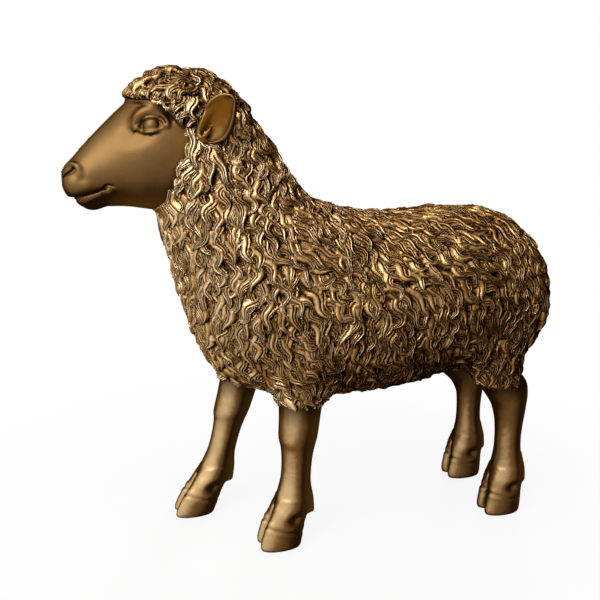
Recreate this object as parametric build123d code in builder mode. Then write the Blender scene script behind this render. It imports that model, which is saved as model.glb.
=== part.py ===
from build123d import *
import os
from math import cos, radians, sin, tan

# A standing sheep, cast in sections and joined by spigots, then finished in gold.
# The sheep looks along -Y, its own left side is +X, and it stands on Z = 0.
# Places along the sheep are written as distances forward of the back of its tail.

# Trunk: the barrel of the body, from the rump to the front of the chest
trunk_length = 363.0
trunk_depth = 186.0
trunk_width = 176.0
belly_height = 143.0
casting_wall = 6.0

# Neck: rises from inside the chest to the back of the head
neck_setback = 185.0
neck_root_rise = 69.0
neck_reach = 220.0
neck_rise = 225.0
neck_width = 144.0
neck_joint_offset = 15.0
neck_bulkhead = 10.0
neck_spigot_radius = 34.0
neck_spigot_bore = 24.0
neck_spigot_length = 16.0

# Head: the bare face, from the joint with the neck to the nose
head_length = 116.0
head_depth = 122.0
head_width = 86.0
head_drop = 59.0
head_spigot_radius = 18.0
head_spigot_length = 14.0
head_spigot_drop = 20.0
eyeball_radius = 8.6
eye_forward = 42.0
eye_rise = 21.0
eye_spread = 29.0
eyelid_radius = 8.4
eyelid_thickness = 3.6
eye_tilt_share = 0.25
nostril_radius = 3.4
nostril_forward = 108.0
nostril_drop = 22.0
nostril_spread = 13.5
mouth_length = 40.0
mouth_drop = 36.0
mouth_gap = 1.6
mouth_depth = 2.4

# Crown: the roll of fleece over the forehead and the skull
crown_length = 106.0
crown_depth = 90.0
crown_width = 88.0
crown_setback = 47.0
crown_drop = 19.0
brow_forward = 62.0
brow_rise = 43.0
brow_angle = 20.0
crown_peg_radius = 7.0
crown_peg_length = 12.0
crown_peg_rise = 41.0

# Ears: cupped leaves that stand out behind the cheeks
ear_length = 43.0
ear_width = 34.5
ear_thickness = 14.0
ear_inset = 3.0
ear_rise = 13.0
ear_turn = 49.4
ear_lift = 37.6
ear_peg_radius = 4.5
ear_peg_length = 12.0

# Tail: a short fleecy tail that lies against the rump
tail_length = 92.0
tail_width = 34.0
tail_depth = 24.0
tail_height = 262.0
tail_stand = 6.0
tail_peg_radius = 5.0

# Legs: bare below the fleece, with cloven hooves
leg_inset = 44.5
hem_rise = 2.0
hoof_height = 34.0
fore_leg_depth = 42.0
fore_leg_width = 40.0
fore_foot_reach = 12.5
left_fore_setback = 88.5
right_fore_setback = 46.0
left_fore_rake = 3.7
right_fore_rake = 15.6
hind_leg_depth = 45.5
hind_leg_width = 42.0
hind_foot_reach = 7.5
hind_leg_station = 42.0
hind_leg_stagger = 2.0
toe_depth = 41.5
toe_width = 17.5
toe_spread = 16.0
dewclaw_length = 28.0
dewclaw_depth = 11.0
dewclaw_width = 9.0
dewclaw_spread = 13.0
dewclaw_stand = 14.5
leg_spigot_radius = 12.0
leg_spigot_length = 26.0
leg_rod_radius = 3.0
leg_rod_rise = 20.0
fleece_cuff = 4.0
fleece_cuff_height = 64.0

# Pads under the hooves, and the bung in the casting hole of the belly
pad_thickness = 1.5
pad_recess = 1.2
pad_length = 24.0
pad_width = 20.0
bung_station = 174.0
bung_radius = 11.0
bung_flange = 3.5
bung_flange_thickness = 2.0
bung_length = 10.0

# Fits
joint_clearance = 0.2
seat_clearance = 0.3
end_gap = 0.8
leg_seat_clearance = 1.6
cut_overrun = 20.0

# Rings of the trunk: forward share of its length, underside and topline as shares of its depth
# above the belly, and share of its width
trunk_ring_shares = (
    (0.000, 0.333, 0.602, 0.190),
    (0.007, 0.237, 0.672, 0.420),
    (0.022, 0.156, 0.763, 0.610),
    (0.052, 0.113, 0.849, 0.760),
    (0.102, 0.081, 0.919, 0.860),
    (0.179, 0.070, 0.984, 0.935),
    (0.281, 0.075, 1.008, 0.975),
    (0.416, 0.019, 1.003, 1.000),
    (0.553, 0.000, 0.987, 1.000),
    (0.689, 0.005, 0.997, 0.980),
    (0.796, 0.027, 1.019, 0.910),
    (0.892, 0.075, 1.005, 0.790),
    (0.959, 0.172, 0.928, 0.610),
    (1.000, 0.306, 0.796, 0.380),
)

# Rings of the neck: throat and nape, each as shares of reach and rise, and share of its width
neck_ring_shares = (
    (0.855, 0.000, 0.000, 0.476, 0.97),
    (0.912, 0.129, 0.173, 0.526, 1.00),
    (0.962, 0.316, 0.382, 0.608, 0.89),
    (1.003, 0.471, 0.545, 0.856, 0.75),
    (1.000, 0.547, 0.682, 1.000, 0.64),
)
neck_cavity_ring_shares = (
    (0.855, 0.000, 0.000, 0.476, 0.97),
    (0.912, 0.129, 0.173, 0.526, 1.00),
    (0.962, 0.316, 0.382, 0.608, 0.89),
    (0.977, 0.395, 0.460, 0.705, 0.82),
)

# Rings of the head: forward share of its length, underside and topline as shares of its depth,
# and share of its width
head_ring_shares = (
    (-0.216, 0.050, 0.950, 0.93),
    (0.000, 0.000, 1.000, 0.95),
    (0.216, 0.016, 0.972, 0.91),
    (0.388, 0.049, 0.894, 0.81),
    (0.534, 0.074, 0.783, 0.67),
    (0.690, 0.066, 0.646, 0.55),
    (0.819, 0.061, 0.521, 0.49),
    (0.914, 0.094, 0.425, 0.42),
    (0.974, 0.155, 0.365, 0.30),
    (1.000, 0.235, 0.312, 0.14),
)

# Rings of the crown, in the same columns
crown_ring_shares = (
    (0.000, 0.020, 0.744, 0.86),
    (0.113, 0.000, 0.844, 0.96),
    (0.255, 0.000, 0.922, 1.00),
    (0.443, 0.055, 0.989, 1.00),
    (0.613, 0.167, 1.000, 0.95),
    (0.783, 0.333, 0.940, 0.80),
    (0.906, 0.500, 0.865, 0.61),
    (0.972, 0.600, 0.815, 0.40),
    (1.000, 0.650, 0.750, 0.20),
)

# Rings of an ear from its root to its tip: share of length, width and thickness, how far the
# middle leans down as a share of width, and its lift out of the cup as a share of thickness
ear_ring_shares = (
    (-0.10, 0.45, 0.80, 0.150, 0.00),
    (0.02, 0.62, 0.95, 0.170, 0.00),
    (0.14, 0.78, 1.00, 0.140, 0.00),
    (0.32, 0.99, 1.00, 0.076, 0.00),
    (0.52, 1.00, 0.92, 0.038, 0.02),
    (0.72, 0.86, 0.74, 0.000, 0.05),
    (0.86, 0.62, 0.52, -0.010, 0.09),
    (0.95, 0.33, 0.32, 0.000, 0.12),
    (1.00, 0.08, 0.14, 0.000, 0.14),
)
ear_cup_ring_shares = (
    (0.10, 0.40, 0.60, 0.110, 0.36),
    (0.32, 0.84, 0.92, 0.070, 0.30),
    (0.52, 0.85, 0.84, 0.038, 0.31),
    (0.72, 0.69, 0.66, 0.000, 0.32),
    (0.86, 0.44, 0.44, -0.010, 0.31),
    (0.94, 0.14, 0.22, 0.000, 0.30),
)

# Rings of the tail from its root down: share of length, width, depth, and forward lean
tail_ring_shares = (
    (0.00, 0.55, 0.50, 0.30),
    (0.15, 0.85, 0.80, 0.10),
    (0.45, 1.00, 1.00, 0.00),
    (0.75, 0.80, 0.90, 0.05),
    (1.00, 0.40, 0.50, 0.25),
)

# Rings of the bare legs from the fleece down to the fetlock: share of the height between hoof
# and fleece, share of depth, share of width, and step forward as a share of the foot's reach
fore_leg_ring_shares = (
    (1.000, 1.00, 1.00, 0.00),
    (0.900, 0.96, 0.96, 0.00),
    (0.800, 0.93, 0.94, 0.00),
    (0.710, 0.89, 0.90, 0.00),
    (0.630, 0.80, 0.81, 0.00),
    (0.540, 0.74, 0.73, 0.00),
    (0.440, 0.71, 0.69, 0.00),
    (0.330, 0.72, 0.70, 0.01),
    (0.220, 0.79, 0.76, 0.07),
    (0.120, 0.85, 0.82, 0.16),
    (0.020, 0.82, 0.84, 0.38),
)
hind_leg_ring_shares = (
    (1.000, 0.93, 0.96, 0.50),
    (0.900, 0.85, 0.90, 0.34),
    (0.800, 0.80, 0.85, 0.15),
    (0.700, 0.76, 0.79, 0.05),
    (0.590, 0.71, 0.72, 0.00),
    (0.455, 0.68, 0.67, 0.00),
    (0.320, 0.70, 0.68, 0.00),
    (0.200, 0.78, 0.74, 0.04),
    (0.110, 0.82, 0.80, 0.20),
    (0.020, 0.80, 0.81, 0.50),
)

# Rings of a toe from inside the pastern down to the sole: share of the hoof's height, share of
# depth, share of width, and step forward as a share of the foot's reach
toe_ring_shares = (
    (1.45, 0.46, 0.55, 0.25),
    (1.15, 0.72, 0.82, 0.48),
    (0.85, 0.89, 0.95, 0.72),
    (0.50, 0.98, 1.00, 0.92),
    (0.20, 1.00, 0.98, 1.03),
    (0.06, 0.95, 0.94, 1.04),
    (0.00, 0.84, 0.80, 1.04),
)

# Rings of a dewclaw from the fetlock down: share of its length, depth, width and stand
dewclaw_ring_shares = (
    (0.00, 0.90, 0.70, 0.55),
    (0.50, 1.00, 1.00, 0.88),
    (1.00, 0.62, 0.66, 1.00),
)

# Rings of the fleece cuff round the top of a leg: share of its height, of the leg's depth and of
# the leg's width, and how far the middle leans in under the trunk
cuff_ring_shares = (
    (0.00, 1.00, 1.00, 0.00),
    (0.35, 1.16, 1.12, 0.00),
    (0.70, 1.26, 1.15, 0.08),
    (1.00, 1.00, 0.80, 0.35),
)

# Places that follow from the sizes
trunk_rear = tail_stand
trunk_front = trunk_rear + trunk_length
stance_width = trunk_width - 2 * leg_inset
neck_root = trunk_front - neck_setback
neck_root_height = belly_height + neck_root_rise
throat_reach_share, throat_rise_share, nape_reach_share, nape_rise_share = neck_ring_shares[-1][:4]
head_station = neck_root + neck_reach * (throat_reach_share + nape_reach_share) / 2
head_height = neck_root_height + neck_rise * (throat_rise_share + nape_rise_share) / 2
overall_length = head_station + head_length
ear_spread = head_width / 2 - ear_inset
hem_height = belly_height + hem_rise
sole_height = pad_thickness - pad_recess
bung_seat_height = belly_height + bung_flange_thickness
tail_peg_height = tail_height - tail_length / 2
crown_height = head_height - crown_drop


def place(forward, across, height):
    """A point: forward of the back of the tail, to the sheep's left, and above the floor."""
    return Vector(across, overall_length / 2 - forward, height)


def cross_plane(forward, height):
    """An upright plane across the sheep, whose own Y is up."""
    return Plane(origin=place(forward, 0, height), x_dir=(1, 0, 0), z_dir=(0, -1, 0))


def cross_rings(rings, start, length, base, depth, width, grow=0.0):
    """Upright ellipses across the sheep, ready to loft."""
    sections = []
    for forward_share, under_share, top_share, width_share in rings:
        middle = base + depth * (under_share + top_share) / 2
        half_depth = depth * (top_share - under_share) / 2 + grow
        with BuildSketch(cross_plane(start + length * forward_share, middle)) as ring:
            Ellipse(width * width_share / 2 + grow, half_depth)
        sections.append(ring.sketch)
    return sections


def neck_plane(ring):
    """The plane of a ring of the neck, whose own X runs from throat to nape, and its half length."""
    throat_reach, throat_rise, nape_reach, nape_rise = ring[:4]
    throat = place(neck_root + neck_reach * throat_reach, 0, neck_root_height + neck_rise * throat_rise)
    nape = place(neck_root + neck_reach * nape_reach, 0, neck_root_height + neck_rise * nape_rise)
    along = nape - throat
    plane = Plane(origin=(throat + nape) / 2, x_dir=along, z_dir=Vector(1, 0, 0).cross(along))
    return plane, along.length / 2


def neck_rings(rings, grow=0.0):
    """Ellipses square to the neck, ready to loft."""
    sections = []
    for shares in rings:
        plane, half_length = neck_plane(shares)
        with BuildSketch(plane) as ring:
            Ellipse(half_length + grow, neck_width * shares[4] / 2 + grow)
        sections.append(ring.sketch)
    return sections


def plan_ring(forward, across, height, half_depth, half_width):
    """A level ellipse centred on a place on the sheep."""
    with BuildSketch(Plane(origin=place(forward, across, height), z_dir=(0, 0, 1))) as ring:
        Ellipse(half_width, half_depth)
    return ring.sketch


neck_joint = neck_plane(neck_ring_shares[0])[0].offset(neck_joint_offset)
head_joint = neck_plane(neck_ring_shares[-1])[0]
brow_point = place(head_station + brow_forward, 0, head_height + brow_rise)
brow_joint = Plane(
    origin=brow_point,
    x_dir=(1, 0, 0),
    z_dir=(0, sin(radians(brow_angle)), cos(radians(brow_angle))),
)
head_spigot_plane = Plane(
    origin=head_joint.from_local_coords((-head_spigot_drop, 0, 0)),
    x_dir=head_joint.x_dir,
    z_dir=head_joint.z_dir,
)
crown_peg_plane = Plane(
    origin=head_joint.from_local_coords((crown_peg_rise, 0, 0)),
    x_dir=head_joint.x_dir,
    z_dir=head_joint.z_dir,
)

# The four legs: place across, place of the top along the sheep, rake in degrees, sizes and rings
legs = {
    "front_left_leg": (
        stance_width / 2, trunk_front - left_fore_setback, left_fore_rake,
        fore_leg_depth, fore_leg_width, fore_foot_reach, fore_leg_ring_shares,
    ),
    "front_right_leg": (
        -stance_width / 2, trunk_front - right_fore_setback, right_fore_rake,
        fore_leg_depth, fore_leg_width, fore_foot_reach, fore_leg_ring_shares,
    ),
    "rear_left_leg": (
        stance_width / 2, trunk_rear + hind_leg_station, 0.0,
        hind_leg_depth, hind_leg_width, hind_foot_reach, hind_leg_ring_shares,
    ),
    "rear_right_leg": (
        -stance_width / 2, trunk_rear + hind_leg_station - hind_leg_stagger, 0.0,
        hind_leg_depth, hind_leg_width, hind_foot_reach, hind_leg_ring_shares,
    ),
}


def leg_line(across, top, rake, height):
    """The point of a leg's own axis at a height."""
    return place(top + (hem_height - height) * tan(radians(rake)), across, height)


def leg_axis_plane(across, top, rake, height):
    """A plane square to a leg's axis, with its normal up the leg."""
    direction = Vector(0, sin(radians(rake)), cos(radians(rake)))
    return Plane(origin=leg_line(across, top, rake, height), x_dir=(1, 0, 0), z_dir=direction)


def foot_place(top, rake, reach, height, reach_share):
    """How far forward the middle of a ring of a leg stands."""
    return top + (hem_height - height) * tan(radians(rake)) + reach * reach_share


def leg_rings(leg):
    """Level ellipses of a bare leg from the fleece down to the fetlock."""
    across, top, rake, depth, width, reach, rings = leg
    sections = []
    for height_share, depth_share, width_share, reach_share in rings:
        height = hoof_height + (hem_height - hoof_height) * height_share
        forward = foot_place(top, rake, reach, height, reach_share)
        sections.append(plan_ring(forward, across, height, depth * depth_share / 2, width * width_share / 2))
    return sections


def toe_rings(leg, side):
    """Level ellipses of one toe, on the left (1) or the right (-1) of its hoof."""
    across, top, rake, depth, width, reach, rings = leg
    sections = []
    for height_share, depth_share, width_share, reach_share in toe_ring_shares:
        height = sole_height + (hoof_height - sole_height) * height_share
        forward = foot_place(top, rake, reach, height, reach_share)
        middle = across + side * toe_spread / 2
        half_depth = toe_depth * depth_share / 2
        sections.append(plan_ring(forward, middle, height, half_depth, toe_width * width_share / 2))
    return sections


def dewclaw_rings(leg, side):
    """Level ellipses of one dewclaw, hanging behind the fetlock."""
    across, top, rake, depth, width, reach, rings = leg
    sections = []
    for length_share, depth_share, width_share, stand_share in dewclaw_ring_shares:
        height = hoof_height + dewclaw_length * (1 - length_share)
        forward = foot_place(top, rake, reach, height, 0) - dewclaw_stand * stand_share
        middle = across + side * dewclaw_spread / 2
        half_depth = dewclaw_depth * depth_share / 2
        sections.append(plan_ring(forward, middle, height, half_depth, dewclaw_width * width_share / 2))
    return sections


def cuff_rings(leg):
    """Level ellipses of the fleece round the top of a leg."""
    across, top, rake, depth, width, reach, rings = leg
    first_step_share = rings[0][3]
    sections = []
    for height_share, depth_share, width_share, lean_share in cuff_ring_shares:
        height = hem_height + fleece_cuff_height * height_share
        middle = across * (1 - lean_share)
        half_depth = depth * depth_share / 2 + fleece_cuff
        half_width = width * width_share / 2 + fleece_cuff
        sections.append(plan_ring(top + reach * first_step_share, middle, height, half_depth, half_width))
    return sections


# The outer form of trunk and neck together, before they are cut apart at the neck joint
trunk_sizes = (trunk_rear, trunk_length, belly_height, trunk_depth, trunk_width)
with BuildPart() as trunk_form:
    loft(cross_rings(trunk_ring_shares, *trunk_sizes))

with BuildPart() as body_form:
    add(trunk_form.part)
    loft(neck_rings(neck_ring_shares))
    for leg in legs.values():
        loft(cuff_rings(leg))


# Trunk: a hollow casting with a bulkhead at the neck, four leg sockets in solid bosses, a hole
# for the tail's peg and the casting hole in the belly
with BuildPart() as trunk_hollow:
    loft(cross_rings(trunk_ring_shares, *trunk_sizes, grow=-casting_wall))
    split(bisect_by=neck_joint.offset(-neck_bulkhead), keep=Keep.BOTTOM)
    for across, top, rake, depth, width, reach, rings in legs.values():
        with BuildSketch(leg_axis_plane(across, top, rake, hem_height)):
            Circle(leg_spigot_radius + casting_wall)
        extrude(amount=leg_spigot_length + end_gap + casting_wall, mode=Mode.SUBTRACT)
        with BuildSketch(leg_axis_plane(across, top, rake, hem_height)):
            Circle(leg_spigot_radius + casting_wall)
        extrude(amount=-cut_overrun, mode=Mode.SUBTRACT)

with BuildPart() as trunk_casting:
    add(body_form.part)
    split(bisect_by=neck_joint, keep=Keep.BOTTOM)
    add(trunk_hollow.part, mode=Mode.SUBTRACT)
    with BuildSketch(neck_joint):
        Circle(neck_spigot_radius + joint_clearance)
    extrude(amount=-(neck_spigot_length + end_gap), mode=Mode.SUBTRACT)
    for across, top, rake, depth, width, reach, rings in legs.values():
        with BuildSketch(leg_axis_plane(across, top, rake, hem_height).offset(-leg_spigot_radius)):
            Circle(leg_spigot_radius + joint_clearance)
        extrude(amount=leg_spigot_radius + leg_spigot_length + end_gap, mode=Mode.SUBTRACT)
        seat_forward = top + reach * rings[0][3]
        seat_half_depth = depth * rings[0][1] / 2 + leg_seat_clearance
        seat_half_width = width * rings[0][2] / 2 + leg_seat_clearance
        with BuildSketch(Plane(origin=place(seat_forward, across, hem_height), z_dir=(0, 0, 1))):
            Ellipse(seat_half_width, seat_half_depth)
        extrude(amount=-cut_overrun, mode=Mode.SUBTRACT)
    with BuildSketch(cross_plane(trunk_rear, tail_peg_height)):
        Circle(tail_peg_radius + joint_clearance)
    extrude(amount=casting_wall + cut_overrun, both=True, mode=Mode.SUBTRACT)
    with BuildSketch(Plane(origin=place(bung_station, 0, bung_seat_height), z_dir=(0, 0, 1))):
        Circle(bung_radius + bung_flange + joint_clearance)
    extrude(amount=-cut_overrun, mode=Mode.SUBTRACT)
    with BuildSketch(Plane(origin=place(bung_station, 0, bung_seat_height), z_dir=(0, 0, 1))):
        Circle(bung_radius + joint_clearance)
    extrude(amount=cut_overrun, mode=Mode.SUBTRACT)

# Neck: a hollow casting with a spigot into the trunk and two sockets in its thick top
with BuildPart() as neck_hollow:
    loft(neck_rings(neck_cavity_ring_shares, grow=-casting_wall))
    split(bisect_by=neck_joint.offset(neck_bulkhead), keep=Keep.TOP)

with BuildPart() as neck_casting:
    add(body_form.part)
    split(bisect_by=neck_joint, keep=Keep.TOP)
    add(neck_hollow.part, mode=Mode.SUBTRACT)
    with BuildSketch(neck_joint):
        Circle(neck_spigot_radius)
    extrude(amount=-neck_spigot_length)
    with BuildSketch(neck_joint.offset(-neck_spigot_length)):
        Circle(neck_spigot_bore)
    extrude(amount=neck_spigot_length + neck_bulkhead + cut_overrun, mode=Mode.SUBTRACT)
    with BuildSketch(head_spigot_plane):
        Circle(head_spigot_radius + joint_clearance)
    extrude(amount=-(head_spigot_length + end_gap), mode=Mode.SUBTRACT)
    with BuildSketch(crown_peg_plane):
        Circle(crown_peg_radius + joint_clearance)
    extrude(amount=-(crown_peg_length + end_gap), mode=Mode.SUBTRACT)


def ear_plane(side):
    """The plane at the root of an ear: its normal runs to the tip, its own Y faces out of the cup."""
    root = place(head_station, side * ear_spread, head_height + ear_rise)
    turn = radians(ear_turn)
    lift = radians(ear_lift)
    tip_way = Vector(side * cos(lift) * cos(turn), cos(lift) * sin(turn), sin(lift))
    cup_way = Vector(side * sin(turn), -cos(turn), 0)
    return Plane(origin=root, x_dir=cup_way.cross(tip_way), z_dir=tip_way)


def ear_peg_plane(side):
    """The plane at the root of an ear that its peg and socket start from, facing outwards."""
    root = place(head_station, side * ear_spread, head_height + ear_rise)
    return Plane(origin=root, z_dir=(side, 0, 0))


# Head: the bare face with its eyes, lids, nostrils and mouth, cut flat behind and under the crown
head_sizes = (head_station, head_length, head_height - head_drop, head_depth, head_width)
muzzle_height = head_height - mouth_drop
mouth_forward = head_station + head_length - mouth_length
with BuildPart() as mouth_groove:
    with BuildSketch(Plane(origin=place(mouth_forward, 0, muzzle_height), z_dir=(0, 0, 1))):
        with Locations((0, -mouth_length)):
            Rectangle(head_width, mouth_length * 2)
    extrude(amount=mouth_gap / 2, both=True)
    loft(cross_rings(head_ring_shares[1:-1], *head_sizes, grow=-mouth_depth), mode=Mode.SUBTRACT)

with BuildPart() as head_casting:
    loft(cross_rings(head_ring_shares, *head_sizes))
    eye_forward_place = head_station + eye_forward
    for side in (1, -1):
        eye_place = place(eye_forward_place, side * eye_spread, head_height + eye_rise)
        with Locations(eye_place):
            Sphere(eyeball_radius)
        lid_place = place(eye_forward_place, side * (eye_spread + eyelid_thickness), head_height + eye_rise)
        with Locations(Plane(origin=lid_place, z_dir=(side, -eye_tilt_share, eye_tilt_share))):
            Torus(eyelid_radius, eyelid_thickness / 2)
        nostril_place = place(
            head_station + nostril_forward, side * nostril_spread, head_height - nostril_drop)
        with Locations(nostril_place):
            Sphere(nostril_radius, mode=Mode.SUBTRACT)
    add(mouth_groove.part, mode=Mode.SUBTRACT)
    split(bisect_by=head_joint, keep=Keep.TOP)
    split(bisect_by=brow_joint, keep=Keep.BOTTOM)
    with BuildSketch(head_spigot_plane):
        Circle(head_spigot_radius)
    extrude(amount=-head_spigot_length)
    for side in (1, -1):
        with BuildSketch(ear_peg_plane(side).offset(cut_overrun)):
            Circle(ear_peg_radius + joint_clearance)
        extrude(amount=-(cut_overrun + ear_peg_length + end_gap), mode=Mode.SUBTRACT)


def ear_rings(side, rings):
    """Flat ellipses along an ear, ready to loft."""
    root_plane = ear_plane(side)
    sections = []
    for length_share, width_share, thickness_share, lean_share, lift_share in rings:
        with BuildSketch(root_plane.offset(ear_length * length_share)) as ring:
            with Locations((-side * ear_width * lean_share, ear_thickness * lift_share)):
                Ellipse(ear_width * width_share / 2, ear_thickness * thickness_share / 2)
        sections.append(ring.sketch)
    return sections


def ear_solid(side):
    """One ear: a leaf, hollowed to a cup, with its root trimmed to the head and crown, and a peg."""
    with BuildPart() as ear:
        loft(ear_rings(side, ear_ring_shares))
        loft(ear_rings(side, ear_cup_ring_shares), mode=Mode.SUBTRACT)
        loft(cross_rings(crown_ring_shares, *crown_sizes, grow=seat_clearance), mode=Mode.SUBTRACT)
        loft(cross_rings(head_ring_shares, *head_sizes, grow=seat_clearance), mode=Mode.SUBTRACT)
        loft(neck_rings(neck_ring_shares, grow=seat_clearance), mode=Mode.SUBTRACT)
        with BuildSketch(ear_peg_plane(side).offset(ear_thickness / 2)):
            Circle(ear_peg_radius)
        extrude(amount=-(ear_thickness / 2 + ear_peg_length))
    return ear.part


# Crown: the roll of fleece over skull and forehead, cut to seat on the head and against the neck
crown_sizes = (head_station - crown_setback, crown_length, crown_height, crown_depth, crown_width)
with BuildPart() as crown_fleece_casting:
    loft(cross_rings(crown_ring_shares, *crown_sizes))
    split(bisect_by=head_joint, keep=Keep.TOP)
    split(bisect_by=brow_joint, keep=Keep.TOP)
    with BuildSketch(crown_peg_plane):
        Circle(crown_peg_radius)
    extrude(amount=-crown_peg_length)

# Tail: laid against the rump, its back trimmed to the trunk, with one peg through the wall
with BuildPart() as tail_casting:
    tail_sections = []
    for length_share, width_share, depth_share, lean_share in tail_ring_shares:
        tail_forward = tail_depth / 2 + tail_depth * lean_share
        tail_ring_height = tail_height - tail_length * length_share
        tail_sections.append(plan_ring(
            tail_forward, 0, tail_ring_height, tail_depth * depth_share / 2, tail_width * width_share / 2))
    loft(tail_sections)
    loft(cross_rings(trunk_ring_shares, *trunk_sizes, grow=seat_clearance), mode=Mode.SUBTRACT)
    with BuildSketch(cross_plane(tail_stand / 2, tail_peg_height)):
        Circle(tail_peg_radius)
    extrude(amount=tail_stand / 2 + casting_wall)


def leg_solid(leg):
    """A leg casting: bare leg, two toes, two dewclaws and a spigot, bored for its rod."""
    across, top, rake, depth, width, reach, rings = leg
    with BuildPart() as leg_casting:
        loft(leg_rings(leg))
        for side in (1, -1):
            loft(toe_rings(leg, side))
            loft(dewclaw_rings(leg, side))
        spigot_plane = leg_axis_plane(across, top, rake, hem_height)
        with BuildSketch(spigot_plane.offset(-leg_spigot_radius)):
            Circle(leg_spigot_radius)
        extrude(amount=leg_spigot_radius + leg_spigot_length)
        with BuildSketch(leg_axis_plane(across, top, rake, leg_rod_rise)):
            Circle(leg_rod_radius + joint_clearance)
        extrude(amount=hem_height + leg_spigot_length, mode=Mode.SUBTRACT)
        sole_forward = foot_place(top, rake, reach, sole_height, 1)
        with BuildSketch(Plane(origin=place(sole_forward, across, sole_height), z_dir=(0, 0, 1))):
            Ellipse(pad_width / 2 + joint_clearance, pad_length / 2 + joint_clearance)
        extrude(amount=pad_recess, mode=Mode.SUBTRACT)
    return leg_casting.part


def leg_rod_solid(leg):
    """The steel rod that stiffens a leg, from the pastern to the top of the spigot."""
    across, top, rake = leg[:3]
    with BuildPart() as leg_rod:
        with BuildSketch(leg_axis_plane(across, top, rake, leg_rod_rise + end_gap)):
            Circle(leg_rod_radius)
        inside_leg = (hem_height - leg_rod_rise - end_gap) / cos(radians(rake))
        extrude(amount=inside_leg + leg_spigot_length)
    return leg_rod.part


def hoof_pad_solid(leg):
    """The felt pad let into the sole of a hoof."""
    across, top, rake, depth, width, reach, rings = leg
    sole_forward = foot_place(top, rake, reach, sole_height, 1)
    with BuildPart() as hoof_pad:
        with BuildSketch(Plane(origin=place(sole_forward, across, 0), z_dir=(0, 0, 1))):
            Ellipse(pad_width / 2, pad_length / 2)
        extrude(amount=pad_thickness)
    return hoof_pad.part


# Bung: a soft plug with a flange, flush in its seat under the belly
with BuildPart() as belly_bung:
    bung_seat_plane = Plane(origin=place(bung_station, 0, bung_seat_height), z_dir=(0, 0, 1))
    with BuildSketch(bung_seat_plane):
        Circle(bung_radius + bung_flange)
    extrude(amount=-bung_flange_thickness)
    with BuildSketch(bung_seat_plane):
        Circle(bung_radius)
    extrude(amount=bung_length)
    fillet(belly_bung.edges().group_by(Axis.Z)[0], bung_flange_thickness / 4)
    chamfer(belly_bung.edges().group_by(Axis.Z)[-1], bung_flange_thickness / 2)

pieces = {
    "trunk_casting": trunk_casting.part,
    "neck_casting": neck_casting.part,
    "head_casting": head_casting.part,
    "crown_fleece_casting": crown_fleece_casting.part,
    "left_ear": ear_solid(1),
    "right_ear": ear_solid(-1),
    "tail_casting": tail_casting.part,
    "belly_bung": belly_bung.part,
}
for name, leg in legs.items():
    pieces[name] = leg_solid(leg)
    pieces[name + "_rod"] = leg_rod_solid(leg)
    pieces[name.replace("leg", "hoof_pad")] = hoof_pad_solid(leg)

os.makedirs("parts", exist_ok=True)
for name, piece in pieces.items():
    piece.label = name
    export_step(piece, "parts/" + name + ".step")
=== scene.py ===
import math

import bpy
import numpy as np
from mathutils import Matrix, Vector


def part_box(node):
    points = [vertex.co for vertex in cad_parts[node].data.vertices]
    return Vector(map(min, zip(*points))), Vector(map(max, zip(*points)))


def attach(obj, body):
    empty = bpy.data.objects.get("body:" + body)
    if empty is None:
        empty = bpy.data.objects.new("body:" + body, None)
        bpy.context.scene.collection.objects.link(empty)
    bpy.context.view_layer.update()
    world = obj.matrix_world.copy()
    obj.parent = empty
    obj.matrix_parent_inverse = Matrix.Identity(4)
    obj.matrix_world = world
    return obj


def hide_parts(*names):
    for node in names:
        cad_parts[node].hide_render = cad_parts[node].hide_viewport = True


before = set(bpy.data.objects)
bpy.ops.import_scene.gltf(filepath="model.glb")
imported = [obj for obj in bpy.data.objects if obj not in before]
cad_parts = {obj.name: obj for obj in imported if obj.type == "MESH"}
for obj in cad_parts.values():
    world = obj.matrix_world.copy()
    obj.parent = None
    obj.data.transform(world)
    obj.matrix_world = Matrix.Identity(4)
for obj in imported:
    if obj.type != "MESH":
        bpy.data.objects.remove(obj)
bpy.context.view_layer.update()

# The stage: a plain pale floor under the sheep, white all round, one broad lamp high in front of
# its left shoulder, and two weaker ones that fill the far side and the rump.
camera_place = (0.64347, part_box("head_casting")[0].y + 0.03188, 0.39185)
camera_way = (-0.936898, 0.269074, -0.223208)
bpy.context.scene.view_settings.view_transform = "Standard"


def stand(name, data, place, way):
    """An object put in the scene, which looks along a way."""
    made = bpy.data.objects.new(name, data)
    made.location = place
    made.rotation_mode = "QUATERNION"
    made.rotation_quaternion = Vector(way).to_track_quat("-Z", "Y")
    bpy.context.scene.collection.objects.link(made)
    return made


camera_data = bpy.data.cameras.new("studio_camera")
camera_data.sensor_width = 36.0
camera_data.lens = 41.4
bpy.context.scene.camera = stand("studio_camera", camera_data, camera_place, camera_way)

# Each lamp: its name, its place, the point that it lights, its size, watts and tint.
lamp_settings = (
    ("key_lamp", (0.85, -1.05, 1.25), (0.0, -0.05, 0.27), 1.2, 15.0, (1.0, 0.985, 0.96)),
    ("top_lamp", (0.25, -0.25, 1.55), (0.0, 0.0, 0.3), 0.7, 5.0, (1.0, 1.0, 1.0)),
    ("back_lamp", (-0.9, 0.8, 1.0), (0.0, 0.0, 0.25), 0.6, 7.0, (1.0, 1.0, 1.0)),
)
for name, place, aim, size, watts, tint in lamp_settings:
    lamp_data = bpy.data.lights.new(name, "AREA")
    lamp_data.shape = "DISK"
    lamp_data.size = size
    lamp_data.energy = watts
    lamp_data.color = tint
    stand(name, lamp_data, place, Vector(aim) - Vector(place))


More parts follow.
